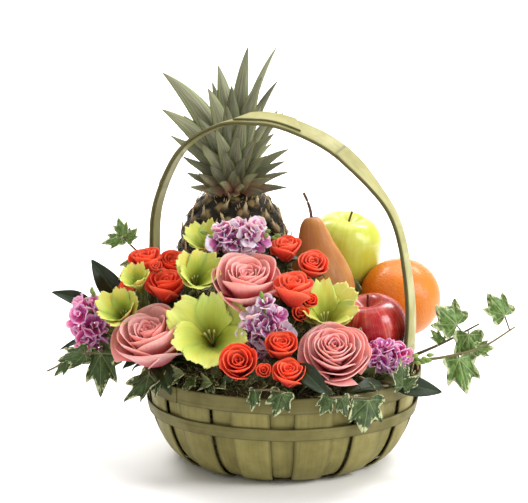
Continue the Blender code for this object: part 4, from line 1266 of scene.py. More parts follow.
def crown_finish(crown):
    made, tree, shader = start_finish("Pineapple leaves", 0.5, Specular_IOR_Level=0.3)
    run = guide(tree, "run")
    side = sums(tree, "ABSOLUTE", guide(tree, "side"))
    spot = triple(tree, times(tree, guide(tree, "side"), 6.0), times(tree, run, 2.2),
                  times(tree, guide(tree, "tint"), 23.0))
    lines = cloud(tree, spot, 1.6, 4.0, 0.6)
    deep = scaled(crown, 0.42)
    colour = mixed(tree, step(tree, lines, 0.3, 0.7), rgba(deep), rgba(crown))
    colour = mixed(tree, step(tree, side, 0.45, 0.80, 0.0, 0.35), colour, rgba((0.26, 0.31, 0.10)))
    # Painted shade: a dark line along each leaf's edge, where the leaves overlap.
    colour = mixed(tree, step(tree, side, 0.80, 1.0, 0.0, 0.80), colour, rgba((0.060, 0.085, 0.025)))
    rosy = times(tree, step(tree, run, 0.10, 0.90, 0.95, 0.0),
                 step(tree, guide(tree, "depth"), 0.80, 0.95))
    # Painted shade: each leaf darkens towards its foot, where the leaves crowd together.
    colour = mixed(tree, step(tree, run, 0.0, 0.50, 0.62, 0.0), colour, rgba((0.06, 0.068, 0.027)))
    colour = mixed(tree, rosy, colour, rgba((0.50, 0.21, 0.14)))
    colour = mixed(tree, step(tree, run, 0.90, 1.0, 0.0, 0.8), colour, rgba((0.16, 0.09, 0.05)))
    shade = plus(tree, times(tree, guide(tree, "tint"), 0.7), 0.72)
    colour = lit(tree, colour, shade)
    dress(tree, shader, colour, lines, 0.0004, 0.5)
    return made


class BASKET_OT_pineapple(bpy.types.Operator):
    """Builds the pineapple's body, eye by eye, and its crown of leaves"""

    bl_idname = "basket.pineapple"
    bl_label = "Pineapple"

    def execute(self, context):
        look = context.scene.fruit_look
        draw = random.Random(7)
        rind = rind_finish(look.rind)
        mould = Mould("run", "side", "tint", "bract")
        mould.place = pineapple_place()
        relief = look.eye_relief / MM

        # The core under the eyes takes run 1.0, the near-black of the furrows: painted shade between the
        # eyes.
        def core(u, v):
            radius, height = barrel(max(0.0, min(1.0, v)))
            turn = pi * u
            radius = max(0.0, radius - relief * 1.1)
            return polar(radius, turn, height) * MM, 1.0, 0.0, 0.5, 0.0

        mould.sheet(48, 30, core)
        for share, turn, half in eye_spots():
            eye(mould, share, turn, half, relief, draw)
        mould.piece("pineapple_eyes", rind, "pineapple_rind", ["pineapple"])
        line = handle_curve()
        crown = crown_finish(look.crown)
        draw = random.Random(7)
        mould = Mould("run", "side", "tint", "depth")
        mould.place = pineapple_place()
        for index in range(CROWN_LEAVES):
            if sin(index * LEAF_SPIRAL) > 0.15:
                crown_leaf(mould, index, CROWN_LEAVES, look.crown_width / MM * 0.8, line, draw, 0.72)
        for across, up, forward, width in CROWN_BLADES:
            foot = (across * 0.12, -forward * 0.25, PINEAPPLE_HEIGHT + max(-6.0, up * 0.40 - 16.0))
            tip = (across, -forward, PINEAPPLE_HEIGHT + up)
            crown_blade(mould, foot, tip, width * 1.12 * look.crown_width / CROWN_WIDTH, line, draw)
        mould.piece("pineapple_crown", crown, "pineapple_rind", ["pineapple"], 0.0011)
        return {"FINISHED"}


def fruit_place(place, lean):
    """lean tips the fruit's top: degrees to the right, then degrees away from the viewer."""
    turn = Euler((radians(-lean[1]), radians(lean[0]), radians(FACING)))
    return Matrix.Translation(bouquet(*place)) @ turn.to_matrix().to_4x4()


def profile(rows, scale):
    """A smooth profile through (radius, height) rows, in metres."""
    curve = smooth_through([(radius, height, 0) for radius, height in rows], 5)
    return [Vector((max(0.0, point.x), point.y)) * scale for point in curve]


def stalk(mould, points, radii):
    curve = smooth_through([Vector(point) * MM for point in points], 5)
    spread = [lerp(radii[0], radii[1], i / (len(curve) - 1)) * MM for i in range(len(curve))]
    spread[-1] *= 1.35
    mould.rod(curve, spread, 10, 0.5, 0.0, 0.5, 0.0)


def apple(node, radius, place, lean, finish, wood, drop=1.0):
    """An apple with five soft lobes, and its stalk standing in the dimple."""

    def swell(turn, v):
        top = ease(0.55, 0.85, v) * 0.03 + 0.012
        return 1 + top * cos(5 * turn + 0.6) * sin(pi * v) + 0.008 * cos(2 * turn)

    mould = Mould(*SKIN_GUIDES)
    mould.place = fruit_place(place, lean)
    rows = [(wide * lerp(1.0, drop, ease(0.0, -0.9, high)), high * (drop if high < 0 else 1.0))
            for wide, high in APPLE_ROWS]
    mould.turned(profile(rows, radius * MM), 56, swell)
    skin = node + "_skin"
    mould.piece(skin, finish, skin, [node])
    mould = Mould("run", "side", "tint", "vein")
    mould.place = fruit_place(place, lean)
    stalk(mould, [(0, 0, radius * 0.58), (0.6, 0, radius * 0.82), (2.2, 0.4, radius * 1.06)], (1.3, 1.1))
    mould.piece(skin + "_stalk", wood, skin)


class BASKET_OT_fruit(bpy.types.Operator):
    """Builds the pear, the two apples and the orange"""

    bl_idname = "basket.fruit"
    bl_label = "Pear, apples and orange"

    def execute(self, context):
        look = context.scene.fruit_look
        wood = leaf_finish("Fruit stalk", (0.05, 0.02, 0.012), (0.12, 0.05, 0.025), (0.1, 0.05, 0.03))
        green = skin_finish("Green apple skin", 0.32, look.green_apple, (0.57, 0.59, 0.13),
                            ((0.66, 0.68, 0.34), 330.0, 0.16), (9.0, 1.2, 0.75, 1.0), SMOOTH_PORES, 0.25)
        red = skin_finish("Red apple skin", 0.28, look.red_apple, (0.74, 0.17, 0.10),
                          ((0.66, 0.30, 0.22), 300.0, 0.11), (26.0, 0.7, 0.80, 1.0), SMOOTH_PORES, 0.35)
        apple("green_apple", 39, (67, 85, 207), (8, -10), green, wood, 1.33)
        apple("red_apple", 38, (91, -23, 138), (-9, -12), red, wood)

        pear = skin_finish("Pear skin", 0.42, look.pear, (0.52, 0.25, 0.060),
                           ((0.24, 0.09, 0.03), 380.0, 0.20), (3.0, 1.0, 0.9, 1.1), ROUGH_PORES, 0.1)
        here = fruit_place((41, 15, 178), (-9, 4))
        mould = Mould(*SKIN_GUIDES)
        mould.place = here
        mould.turned(profile(PEAR_ROWS, MM), 56, lambda turn, v: 1 + 0.018 * cos(3 * turn + 4 * v))
        mould.piece("pear_skin", pear, "pear_skin", ["pear"])
        mould = Mould("run", "side", "tint", "vein")
        mould.place = here
        stalk(mould, [(0, 0, 70), (0.2, 0, 80), (-1.4, 0, 90), (-4.0, 0, 99)], (1.7, 1.5))
        mould.piece("pear_stalk", wood, "pear_skin")

        peel = skin_finish("Orange peel", 0.40, look.orange, (0.65, 0.20, 0.009),
                           ((0.58, 0.15, 0.008), 520.0, 0.28), (1.5, 1.0, 1.2, 1.6), PEEL_PORES, 0.15)
        mould = Mould(*SKIN_GUIDES)
        mould.place = fruit_place((126, 52, 158), (0, -30))
        rows = [(43.3 * sin(pi * i / 11), -42 * cos(pi * i / 11)) for i in range(12)]
        rows[-1] = (0, 40.6)
        mould.turned(profile(rows, MM), 64, lambda turn, v: 1 + 0.006 * cos(3 * turn + 5 * v))
        mould.piece("orange_peel", peel, "orange_rind", ["orange"])
        return {"FINISHED"}


# ---------------------------------------------------------------- flowers


def petal(mould, radius, turn, ring, depth, draw, grid, ruffle=0.018, lip=0.10):
    """One rose petal: a cupped sheet whose rounded rim spreads into a lip and rolls back."""
    _, reach, rise, half, roll = ring
    lip *= min(1.0, reach * 3)
    reach = max(0.03, reach - 0.6 * lip)
    half = radians(half) * draw.uniform(0.88, 1.08)
    rise += draw.uniform(-0.035, 0.035)
    reach *= draw.uniform(0.95, 1.03)
    roll *= draw.uniform(0.6, 1.1)
    belly = (reach * lerp(0.55, 1.10, reach), lerp(-0.25, -0.60, reach))
    phase = draw.uniform(0, TAU)
    tint = draw.random()
    slant = draw.uniform(-0.07, 0.07)
    point_up = draw.uniform(0.0, 0.06) * reach

    def shape(u, v):
        run = v * (1 - 0.24 * abs(u) ** 4 + slant * u)
        run += point_up * exp(-((u / 0.3) ** 2)) * v
        reach_here = arc(0.05, belly[0], reach, run)
        rise_here = arc(-0.80, belly[1], rise, run)
        curl = ease(0.66, 1.0, v) * roll * (0.65 + 0.35 * u * u)
        reach_here += 0.12 * curl + lip * ease(0.45, 1.0, v) ** 1.5
        rise_here -= 0.22 * curl * ease(0.66, 1.0, v)
        rise_here += ruffle * sin(5 * u + phase) * ease(0.6, 1, v)
        reach_here += ruffle * sin(7 * u + phase * 2) * ease(0.6, 1, v)
        reach_here *= 1 + 0.08 * u
        wide = half * (0.45 + 0.55 * sin(min(1.0, run / 0.62) * pi / 2))
        angle = turn + u * wide
        point = polar(reach_here, angle, rise_here)
        return point * radius * MM, v, u, depth, tint

    mould.sheet(*grid, shape)


def rose(mould, radius, rings, draw, grid, ruffle=0.018, shade=None, lip=0.10):
    """Petals in rings from the heart outwards, each ring turned against the last.

    The depth guide runs from 0 at the heart to 1 outside, or is shade all over.
    """
    turn = draw.uniform(0, TAU)
    for index, ring in enumerate(rings):
        turn += draw.uniform(0.5, 0.9)
        depth = index / (len(rings) - 1) if shade is None else shade
        for number in range(ring[0]):
            angle = turn + number * TAU / ring[0] + draw.uniform(-0.16, 0.16)
            petal(mould, radius, angle, ring, depth, draw, grid, ruffle, lip)


def foliage(mould, place, radius, count, draw):
    """Dark leaves under a bloom, which close the gaps to its neighbours."""
    mould.place = Matrix.Identity(4)
    axis = (place.to_3x3() @ Vector((0, 0, 1))).normalized()
    start = place @ Vector((0, 0, -0.7 * radius * MM))
    inward = (BOUQUET_HEART - start).normalized()
    for number in range(count):
        swing = number * TAU / count + draw.uniform(-0.5, 0.5)
        flat = place.to_3x3() @ polar(1, swing, 0)
        along = (flat + inward * 0.45 + axis * draw.uniform(0.0, 0.3)).normalized()
        length = radius * MM * draw.uniform(1.0, 1.3)
        across = along.cross(axis).normalized()
        face = across.cross(along).normalized()
        broad_leaf(mould, start, along * length, across, face, length * 0.5, draw, 0.12)


def sepals(mould, radius, draw):
    """The calyx under a rose and its five pointed leaves."""

    def cup(u, v):
        turn = pi * u
        reach = 0.19 * sin(pi * min(1.0, 0.15 + 0.85 * v)) + 0.03
        point = polar(reach, turn, lerp(-1.02, -0.70, v))
        return point * radius * MM, v, u, 0.5, 0.3, 0.0

    mould.sheet(10, 5, cup)
    for number in range(5):
        turn = number * TAU / 5 + draw.uniform(-0.2, 0.2)
        flare = draw.uniform(0.7, 1.1)
        tint = draw.random()

        def blade(u, v):
            reach = arc(0.12, 0.55 * flare, 0.80 * flare, v)
            rise = arc(-0.82, -0.74, -0.42 - 0.4 * flare * v, v)
            wide = 0.16 * (1 - v) ** 0.8 * (0.6 + 0.8 * sin(pi * min(1, v + 0.2)))
            side = Vector((-sin(turn), cos(turn), 0)) * u * wide
            point = polar(reach, turn, rise + 0.05 * u * u) + side
            return point * radius * MM, v, u, abs(u), tint, 1 - abs(u)

        mould.sheet(4, 8, blade)


def root_stem(mould, place, radius, thick):
    """A stem from under a bloom into the bed."""
    start = place @ Vector((0, 0, -0.86 * radius * MM))
    axis = (place.to_3x3() @ Vector((0, 0, 1))).normalized()
    knee = start - axis * 0.014
    points = (start, knee, knee.lerp(BLOOM_ROOT, 0.35), knee.lerp(BLOOM_ROOT, 0.62))
    mould.place = Matrix.Identity(4)
    mould.stem(points, 4, thick * MM, 8, 0.5, 0.0, 0.2, 0.5, 0.0)


class BASKET_OT_roses(bpy.types.Operator):
    """Builds the large pink roses and the coral spray roses, petal by petal"""

    bl_idname = "basket.roses"
    bl_label = "Roses"

    def execute(self, context):
        look = context.scene.flower_look
        thick = look.petal_thick
        pink = petal_finish("Pink petals", (0.68, 0.085, 0.11), look.pink, (0.87, 0.42, 0.40),
                            0.80, 0.22, 0.42)
        coral = petal_finish("Coral petals", (0.44, 0.010, 0.008), look.coral, (0.84, 0.11, 0.042),
                             0.80, 0.10, 0.25)
        soft = petal_finish("Soft coral petals", (0.52, 0.016, 0.009), (0.76, 0.055, 0.027),
                            (0.86, 0.14, 0.07), 0.76, 0.10, 0.25)
        greens = Mould(*LEAF_GUIDES)
        leaves = Mould(*LEAF_GUIDES)
        for index, (name, (place, radius, yaw, pitch)) in enumerate(PINK_ROSES.items()):
            draw = random.Random(40 + index)
            here = bloom_frame(place, yaw, pitch)
            mould = Mould(*PETAL_GUIDES)
            mould.place = here
            rings = OPEN_RINGS if name.endswith("right") else CUPPED_RINGS
            rose(mould, radius, rings, draw, (18, 16), lip=0.13)
            mould.piece(name + "_petals", pink, "pink_petal", [name], thick)
            greens.place = here
            sepals(greens, radius * 0.9, draw)
            foliage(leaves, here, radius, 5, draw)
            root_stem(greens, here, radius, 2.4)
        for index, (name, (place, radius, yaw, pitch)) in enumerate(SPRAY_ROSES.items()):
            draw = random.Random(80 + index)
            here = bloom_frame(place, yaw, pitch)
            mould = Mould(*PETAL_GUIDES)
            mould.place = here
            rings = BUD_RINGS if radius < 12 else SPRAY_RINGS
            rose(mould, radius, rings, draw, (14, 12), 0.016, lip=0.17)
            finish = soft if "right" in name else coral
            mould.piece(name + "_petals", finish, "coral_petal", [name], thick)
            greens.place = here
            sepals(greens, radius, draw)
            foliage(leaves, here, radius, 3, draw)
            root_stem(greens, here, radius, 1.5)
        mould = Mould(*PETAL_GUIDES)
        for index, (place, radius, yaw, pitch) in enumerate(BUDS):
            draw = random.Random(300 + index)
            mould.place = bloom_frame(place, yaw, pitch)
            rose(mould, radius, BUD_RINGS, draw, (12, 10), 0.016)
            greens.place = mould.place
            sepals(greens, radius, draw)
        mould.piece("spray_rose_buds", coral, "coral_petal", (), thick)
        green = leaf_finish("Rose greens", (0.03, 0.065, 0.015), (0.10, 0.17, 0.045), (0.15, 0.22, 0.08))
        greens.piece("rose_sepals_and_stems", green, "dark_leaf", (), look.petal_thick)
        deep = leaf_finish("Rose leaves", (0.008, 0.02, 0.005), (0.028, 0.06, 0.012), (0.06, 0.10, 0.03),
                           roughness=0.38)
        leaves.piece("rose_leaves", deep, "dark_leaf", (), look.petal_thick)
        return {"FINISHED"}


def tepal(mould, radius, turn, outer, openness, draw):
    """One of a gladiolus bloom's six petals, wavy and toothed along its lip."""
    reach = lerp(0.68, 1.0, openness) * (1.0 if outer else 0.90) * draw.uniform(0.9, 1.05)
    rise = lerp(0.62, 0.16, openness) + (0.0 if outer else 0.08) + draw.uniform(-0.08, 0.12)
    phase = draw.uniform(0, TAU)
    tint = draw.random()
    ripple = draw.uniform(0.055, 0.085) * lerp(0.9, 1.35, openness)
    tilt = draw.uniform(-0.14, 0.14)
    half = radians(70 if outer else 60)
    throat = lerp(0.30, 0.25, openness)

    def shape(u, v):
        lip = ease(0.60, 1.0, v)
        run = v * (1 - 0.15 * abs(u) ** 3)
        here = arc(0.03, throat, reach, run)
        here = lerp(here, arc(0.03, 0.34, reach, run), ease(0.3, 0.9, v))
        here *= 1 + 0.05 * exp(-((u / 0.22) ** 2)) * lip
        height = arc(-1.05 + 0.20 * openness, -0.10 - 0.20 * openness, rise, run)
        height -= 0.16 * lip * openness * (0.4 + 0.6 * u * u)
        height += 0.05 * exp(-((u / 0.20) ** 2)) * ease(0.3, 0.6, v) * (1 - lip)
        spread = ease(0.45, 1.0, v)
        wave = ripple * sin(7 * u + 3 * v + phase) * (0.35 + 0.65 * abs(u)) * spread
        wave += 0.40 * ripple * sin(15 * u + 2 * phase) * ease(0.7, 1.0, v)
        edge = max(abs(u) ** 4, ease(0.86, 1.0, v))
        tooth = 0.012 * sin(37 * u + phase) * edge + 0.014 * sin(31 * v + phase) * abs(u) ** 6
        height += wave + tooth + tilt * u * v
        here += 0.7 * wave + tooth * 1.6
        wide = half * (0.62 + 0.38 * ease(0, 0.45, v)) * (1 - 0.52 * ease(0.70, 1.06, v) ** 1.5)
        angle = turn + u * wide
        point = polar(here, angle, height)
        return point * radius * MM, v, u, 0.5 if outer else 0.8, tint

    mould.sheet(30, 22, shape)


class BASKET_OT_gladiolus(bpy.types.Operator):
    """Builds the lime gladiolus blooms with their ruffled lips and stamens"""

    bl_idname = "basket.gladiolus"
    bl_label = "Gladiolus"

    def execute(self, context):
        look = context.scene.flower_look
        lime = petal_finish("Lime petals", (0.26, 0.285, 0.022), look.lime, (0.62, 0.65, 0.20),
                            0.74, 0.05, 0.06)
        stamen = petal_finish("Stamens", (0.3, 0.33, 0.06), (0.42, 0.45, 0.12), (0.55, 0.56, 0.25), 0.9)
        green = leaf_finish("Gladiolus greens", (0.07, 0.12, 0.02), (0.16, 0.24, 0.06), (0.2, 0.28, 0.1))
        threads = Mould(*PETAL_GUIDES)
        greens = Mould(*LEAF_GUIDES)
        for index, (name, (place, radius, yaw, pitch, openness)) in enumerate(GLADIOLUS.items()):
            draw = random.Random(120 + index)
            here = bloom_frame(place, yaw, pitch)
            mould = Mould(*PETAL_GUIDES)
            mould.place = here
            turn = radians(-90) + draw.uniform(-0.2, 0.2)
            for number in range(3):
                tepal(mould, radius, turn + number * TAU / 3, True, openness, draw)
                tepal(mould, radius, turn + (number + 0.5) * TAU / 3, False, openness, draw)
            mould.piece(name + "_petals", lime, "lime_petal", [name], look.petal_thick)
            threads.place = here
            for number in range(3):
                lean = 0.10 * polar(1, number * 0.7 + 1.2, 0)
                tip = (lean * 1.4 + Vector((0, 0, -0.42))) * radius * MM
                foot = Vector((0, 0, -0.8)) * radius * MM
                points = (foot, foot.lerp(tip, 0.5), tip)
                threads.stem(points, 3, 0.018 * radius * MM, 6, 0.7, 0.0, 0.5, 0.5)
                knob = [tip, tip + (tip - foot).normalized() * 0.12 * radius * MM]
                threads.rod(knob, [0.026 * radius * MM] * 2, 6, 1.0, 0.0, 1.0, 0.9)
            root_stem(greens, here, radius * 1.2, 2.0)
        threads.piece("gladiolus_stamens", stamen, "lime_petal")
        greens.piece("gladiolus_stems", green, "dark_leaf")
        return {"FINISHED"}


class BASKET_OT_stock(bpy.types.Operator):
    """Builds the lilac stock: double florets and green buds round each stem"""

    bl_idname = "basket.stock"
    bl_label = "Stock"

    def execute(self, context):
        look = context.scene.flower_look
        lilac = petal_finish("Lilac petals", (0.48, 0.08, 0.31), look.lilac, (0.80, 0.61, 0.71),
                             0.96, 0.60, 0.30)
        deep = petal_finish("Deep lilac petals", (0.52, 0.05, 0.27), (0.72, 0.20, 0.46),
                            (0.80, 0.44, 0.66), 0.96, 0.60, 0.30)
        green = leaf_finish("Stock greens", (0.10, 0.17, 0.03), (0.26, 0.36, 0.08), (0.35, 0.42, 0.16))
        greens = Mould(*LEAF_GUIDES)
        for index, (name, (place, half, count, buds)) in enumerate(STOCK.items()):
            draw = random.Random(160 + index)
            mould = Mould(*PETAL_GUIDES)
            origin = Matrix.Translation(bouquet(*place)) @ FACING_TURN.to_4x4()
            for number in range(count):
                height = 1 - 2 * (number + 0.5) / count
                swing = number * LEAF_SPIRAL
                flat = math.sqrt(1 - height**2)
                out = Vector((flat * sin(swing), -flat * cos(swing), height))
                size = draw.uniform(8.5, 12.0)
                reach = draw.uniform(0.72, 1.24)
                spot = Vector(out[i] * max(2.0, half[i] * reach - size * 0.4) for i in range(3))
                aim = Vector(out[i] / half[i] for i in range(3)).normalized()
                aim += Vector((draw.uniform(-0.4, 0.4), draw.uniform(-0.6, 0.1), draw.uniform(-0.2, 0.6)))
                aim.normalize()
                face = aim.to_track_quat("Z", "Y").to_matrix().to_4x4()
                mould.place = origin @ Matrix.Translation(spot * MM) @ face
                rose(mould, size, FLORET_RINGS, draw, (8, 8), 0.06, draw.random())
            finish = deep if name in ("stock_left", "stock_right") else lilac
            mould.piece(name + "_florets", finish, "lilac_petal", [name], look.petal_thick)
            greens.place = origin
            long = max(range(3), key=lambda axis: half[axis])
            ends = Vector(((1 if long == 0 else 0), 0, (1 if long == 2 else 0))) * half[long]
            line = (ends * -0.9 * MM, Vector((0, 0.002, 0)), ends * 0.85 * MM)
            greens.stem(line, 4, STOCK_STEM, 8, 0.5, 0.0, 0.3, 0.5, 0.0)
            for number in range(buds):
                side = 1 if number % 3 else -1
                near = ends * side * draw.uniform(0.72, 0.96 + buds / 40)
                scatter = Vector((draw.uniform(-7, 7), draw.uniform(-8, 4), draw.uniform(-7, 7)))
                bud = (near + scatter) * MM
                tip = bud + (near.normalized() * 6 + scatter * 0.3) * MM
                points = [bud, bud.lerp(tip, 0.35), bud.lerp(tip, 0.7), tip]
                greens.rod(points, BUD_RADII, 8, draw.random(), 0.0, 0.2, draw.random(), 0.0)
            back = bouquet(*place)
            greens.place = Matrix.Identity(4)
            root = (back, back.lerp(STEM_ROOT, 0.3), back.lerp(STEM_ROOT, 0.6))
            greens.stem(root, 4, STOCK_STEM, 8, 0.5, 0.0, 0.3, 0.5, 0.0)
        greens.piece("stock_stems_and_buds", green, "dark_leaf")
        return {"FINISHED"}


# ---------------------------------------------------------------- leaves


def leaf_frame(base, tip, lean, outward=0.0):
    """A leaf's axes: across, along to its tip, and its face, which leans up from the viewer."""
    start = bouquet(*base)
    along = bouquet(*tip) - start
    turn = radians(FACING)
    viewer = Vector((sin(turn), -cos(turn), 0))
    middle = start + along / 2
    out = Vector((middle.x, middle.y, 0)).normalized()
    level = viewer.lerp(out, outward).normalized()
    face = level * cos(radians(lean)) + Vector((0, 0, 1)) * sin(radians(lean))
    across = along.cross(face).normalized()
    return start, along, across, across.cross(along).normalized()


def broad_leaf(mould, start, along, across, face, width, draw, bow=0.08, grid=(10, 30)):
    """A pointed leaf with a sunken rib, side veins and a gently wavy edge."""
    tint = draw.random()
    phase = draw.uniform(0, TAU)
    length = along.length

    def shape(u, v):
        half = width / 2 * (sin(pi * min(1.0, 0.06 + v**0.85 * 0.94)) ** 0.75) * (1 - 0.25 * v)
        half += width * 0.02 * (1 - v)
        fold = abs(u) ** 1.3 * half * 0.40
        bend = sin(pi * v) * length * bow - length * 0.05 * v**3
        wave = 0.05 * width * sin(9 * v + phase + (1.5 if u > 0 else 0)) * u * u
        point = start + along * v + across * (u * half) + face * (fold + bend + wave)
        rib = exp(-((u / 0.09) ** 2))
        slant = v * 9 - abs(u) * 1.6
        vein = max(rib, 0.75 * exp(-(((slant - round(slant)) / 0.13) ** 2)) * ease(0.05, 0.3, abs(u)))
        return point, v, u, abs(u), tint, vein

    mould.sheet(*grid, shape)


def ivy_outline():
    """A lobed outline as (share along, share across), closed, starting at the tip."""
    side = (
        (1.0, 0.0), (0.82, 0.14), (0.64, 0.24), (0.58, 0.30), (0.63, 0.40), (0.67, 0.50),
        (0.52, 0.50), (0.36, 0.46), (0.25, 0.41), (0.17, 0.44), (0.06, 0.50), (-0.08, 0.42),
        (-0.09, 0.26), (-0.03, 0.12), (0.03, 0.02),
    )
    loop = [*side, *[(a, -b) for a, b in reversed(side[1:])]]
    curve = smooth_through([(a, b, 0) for a, b in [*loop, loop[0]]], 3)
    return curve[:-1]


def ivy_blade(mould, base, tip, width, outward, draw):
    """A lobed ivy leaf on its stalk, raised between its veins."""
    start, along, across, face = leaf_frame(base, tip, IVY_LEAN, outward)
    length = along.length
    outline = ivy_outline()
    tint = draw.random()
    phase = draw.uniform(0, TAU)
    hub = Vector((0.05, 0.0))
    stretch = draw.uniform(0.94, 1.08)

    def shape(u, v):
        share = (u + 1) / 2 * len(outline)
        low = int(share) % len(outline)
        rim = outline[low].lerp(outline[(low + 1) % len(outline)], share - int(share))
        spot = hub + (Vector((rim.x, rim.y * stretch)) - hub) * v
        vein = 0.0
        for lobe in IVY_TIPS:
            ray = Vector(lobe) - hub
            ahead = (spot - hub).dot(ray) / ray.length
            away = abs((spot - hub).x * ray.y - (spot - hub).y * ray.x) / ray.length
            if ahead > -0.02:
                vein = max(vein, exp(-((away / (0.030 - 0.012 * min(1, ahead))) ** 2)))
        lift = 0.05 * length * cos(3 * pi * spot.y) - 0.10 * length * spot.x**2
        lift += 0.03 * length * sin(4 * (u * pi) + phase) * v * v
        lift -= 0.022 * length * vein
        point = start + along * spot.x + across * (spot.y * width * MM) + face * lift
        return point, spot.x, spot.y * 2, v, tint, vein

    mould.sheet(len(outline), 9, shape)


class BASKET_OT_leaves(bpy.types.Operator):
    """Builds the broad dark leaves and the sprigs of variegated ivy"""

    bl_idname = "basket.leaves"
    bl_label = "Leaves and ivy"

    def execute(self, context):
        look = context.scene.greens_look
        green = look.dark_green
        glossy = leaf_finish("Dark leaves", scaled(green, 0.4), green, scaled(green, 3),
                             roughness=0.42)
        variegated = leaf_finish("Ivy blades", scaled(look.ivy_green, 0.35), look.ivy_green,
                                 (0.27, 0.32, 0.15), look.ivy_margin, 0.90, 0.45)
        young = leaf_finish("Young ivy blades", scaled(look.ivy_green, 0.9),
                            scaled(look.ivy_green, 2.6), (0.50, 0.56, 0.28), look.ivy_margin,
                            0.84, 0.42)
        twig = leaf_finish("Ivy stems", (0.07, 0.05, 0.02), (0.17, 0.14, 0.06), (0.2, 0.2, 0.1))
        stems = Mould(*LEAF_GUIDES)
        for index, (name, (base, tip, width, lean)) in enumerate(DARK_LEAVES.items()):
            draw = random.Random(200 + index)
            mould = Mould(*LEAF_GUIDES)
            start, along, across, face = leaf_frame(base, tip, lean)
            broad_leaf(mould, start, along, across, face, width * MM, draw)
            mould.piece(name + "_blade", glossy, "dark_leaf", [name], look.leaf_thick)
            points = (start + along * 0.05, start - along * 0.12, start.lerp(STEM_ROOT, 0.4))
            stems.stem(points, 4, LEAF_STEM, 7, 0.4, 0.0, 0.2, 0.4, 0.0)
        for index, (name, (outward, path, leaves)) in enumerate(IVY.items()):
            draw = random.Random(240 + index)
            mould = Mould(*LEAF_GUIDES)
            line = [bouquet(*point) for point in smooth_through(path, 6)]
            for base, tip, width in leaves:
                ivy_blade(mould, base, tip, width, outward, draw)
                foot = bouquet(*base)
                near = min(line, key=lambda point: (point - foot).length)
                hub = foot + (bouquet(*tip) - foot) * 0.05
                if (near - hub).length > 0.0005:
                    stems.rod([near, near.lerp(hub, 0.5), hub], [LEAF_STEM] * 3, 6, 0.6, 0.0, 0.3, 0.7, 0.0)
            finish = young if name in ("ivy_left_top", "ivy_right_low", "ivy_right_high") else variegated
            mould.piece(name + "_blades", finish, "ivy_leaf", [name], look.leaf_thick)
            start = 0.0021 if "right_" in name and outward == 0.0 else 0.0012
            thin = [lerp(start, 0.0010, i / (len(line) - 1)) for i in range(len(line))]
            stems.rod(line, thin, 8, 0.3, 0.0, 0.3, draw.random(), 0.0)
            root = (line[0], line[0].lerp(STEM_ROOT, 0.25), line[0].lerp(STEM_ROOT, 0.5))
            stems.stem(root, 3, 0.0011, 7, 0.3, 0.0, 0.3, 0.4, 0.0)
        stems.piece("ivy_and_leaf_stems", twig, "ivy_leaf")
        return {"FINISHED"}


# ---------------------------------------------------------------- bed


def moss_finish(moss):
    made, tree, shader = start_finish("Moss bed", 0.9)
    patches = mottled(tree, 38.0)
    where = object_place(tree)
    grit = cloud(tree, where, 420.0, 4.0, 0.7)
    colour = mixed(tree, patches, rgba((0.07, 0.06, 0.025)), rgba(scaled(moss, 0.6)))
    colour = mixed(tree, step(tree, grit, 0.45, 0.7), colour, rgba((0.026, 0.023, 0.012)))
    dress(tree, shader, colour, grit, 0.0018, 1.0)
    return made


def strand_finish(moss):
    made, tree, shader = start_finish("Moss strands", 0.8, Specular_IOR_Level=0.2)
    tint = guide(tree, "tint")
    pale = [min(0.8, value * 2.6) for value in moss]
    colour = mixed(tree, tint, rgba(scaled(moss, 0.9)), rgba(pale))
    colour = mixed(tree, step(tree, tint, 0.80, 0.95), colour, rgba((0.20, 0.11, 0.045)))
    # Painted shade and light: each strand darkens towards the bed and brightens towards its tip.
    run = step(tree, guide(tree, "run"), 0.0, 1.0, 0.55, 1.15)
    colour = lit(tree, colour, run)
    dress(tree, shader, colour)
    return made


def bed_spots(bm, count, draw):
    """Random (point, normal) spots over the bed's upper side, spread by area."""
    faces = [face for face in bm.faces if face.calc_center_median().z > BED_TOP]
    areas = [face.calc_area() for face in faces]
    spots = []
    for face in draw.choices(faces, areas, k=count):
        corners = [vert.co for vert in face.verts]
        one, two = sorted((draw.random(), draw.random()))
        point = corners[0] * one + corners[1] * (two - one) + corners[2] * (1 - two)
        spots.append((point, face.normal.copy()))
    return spots


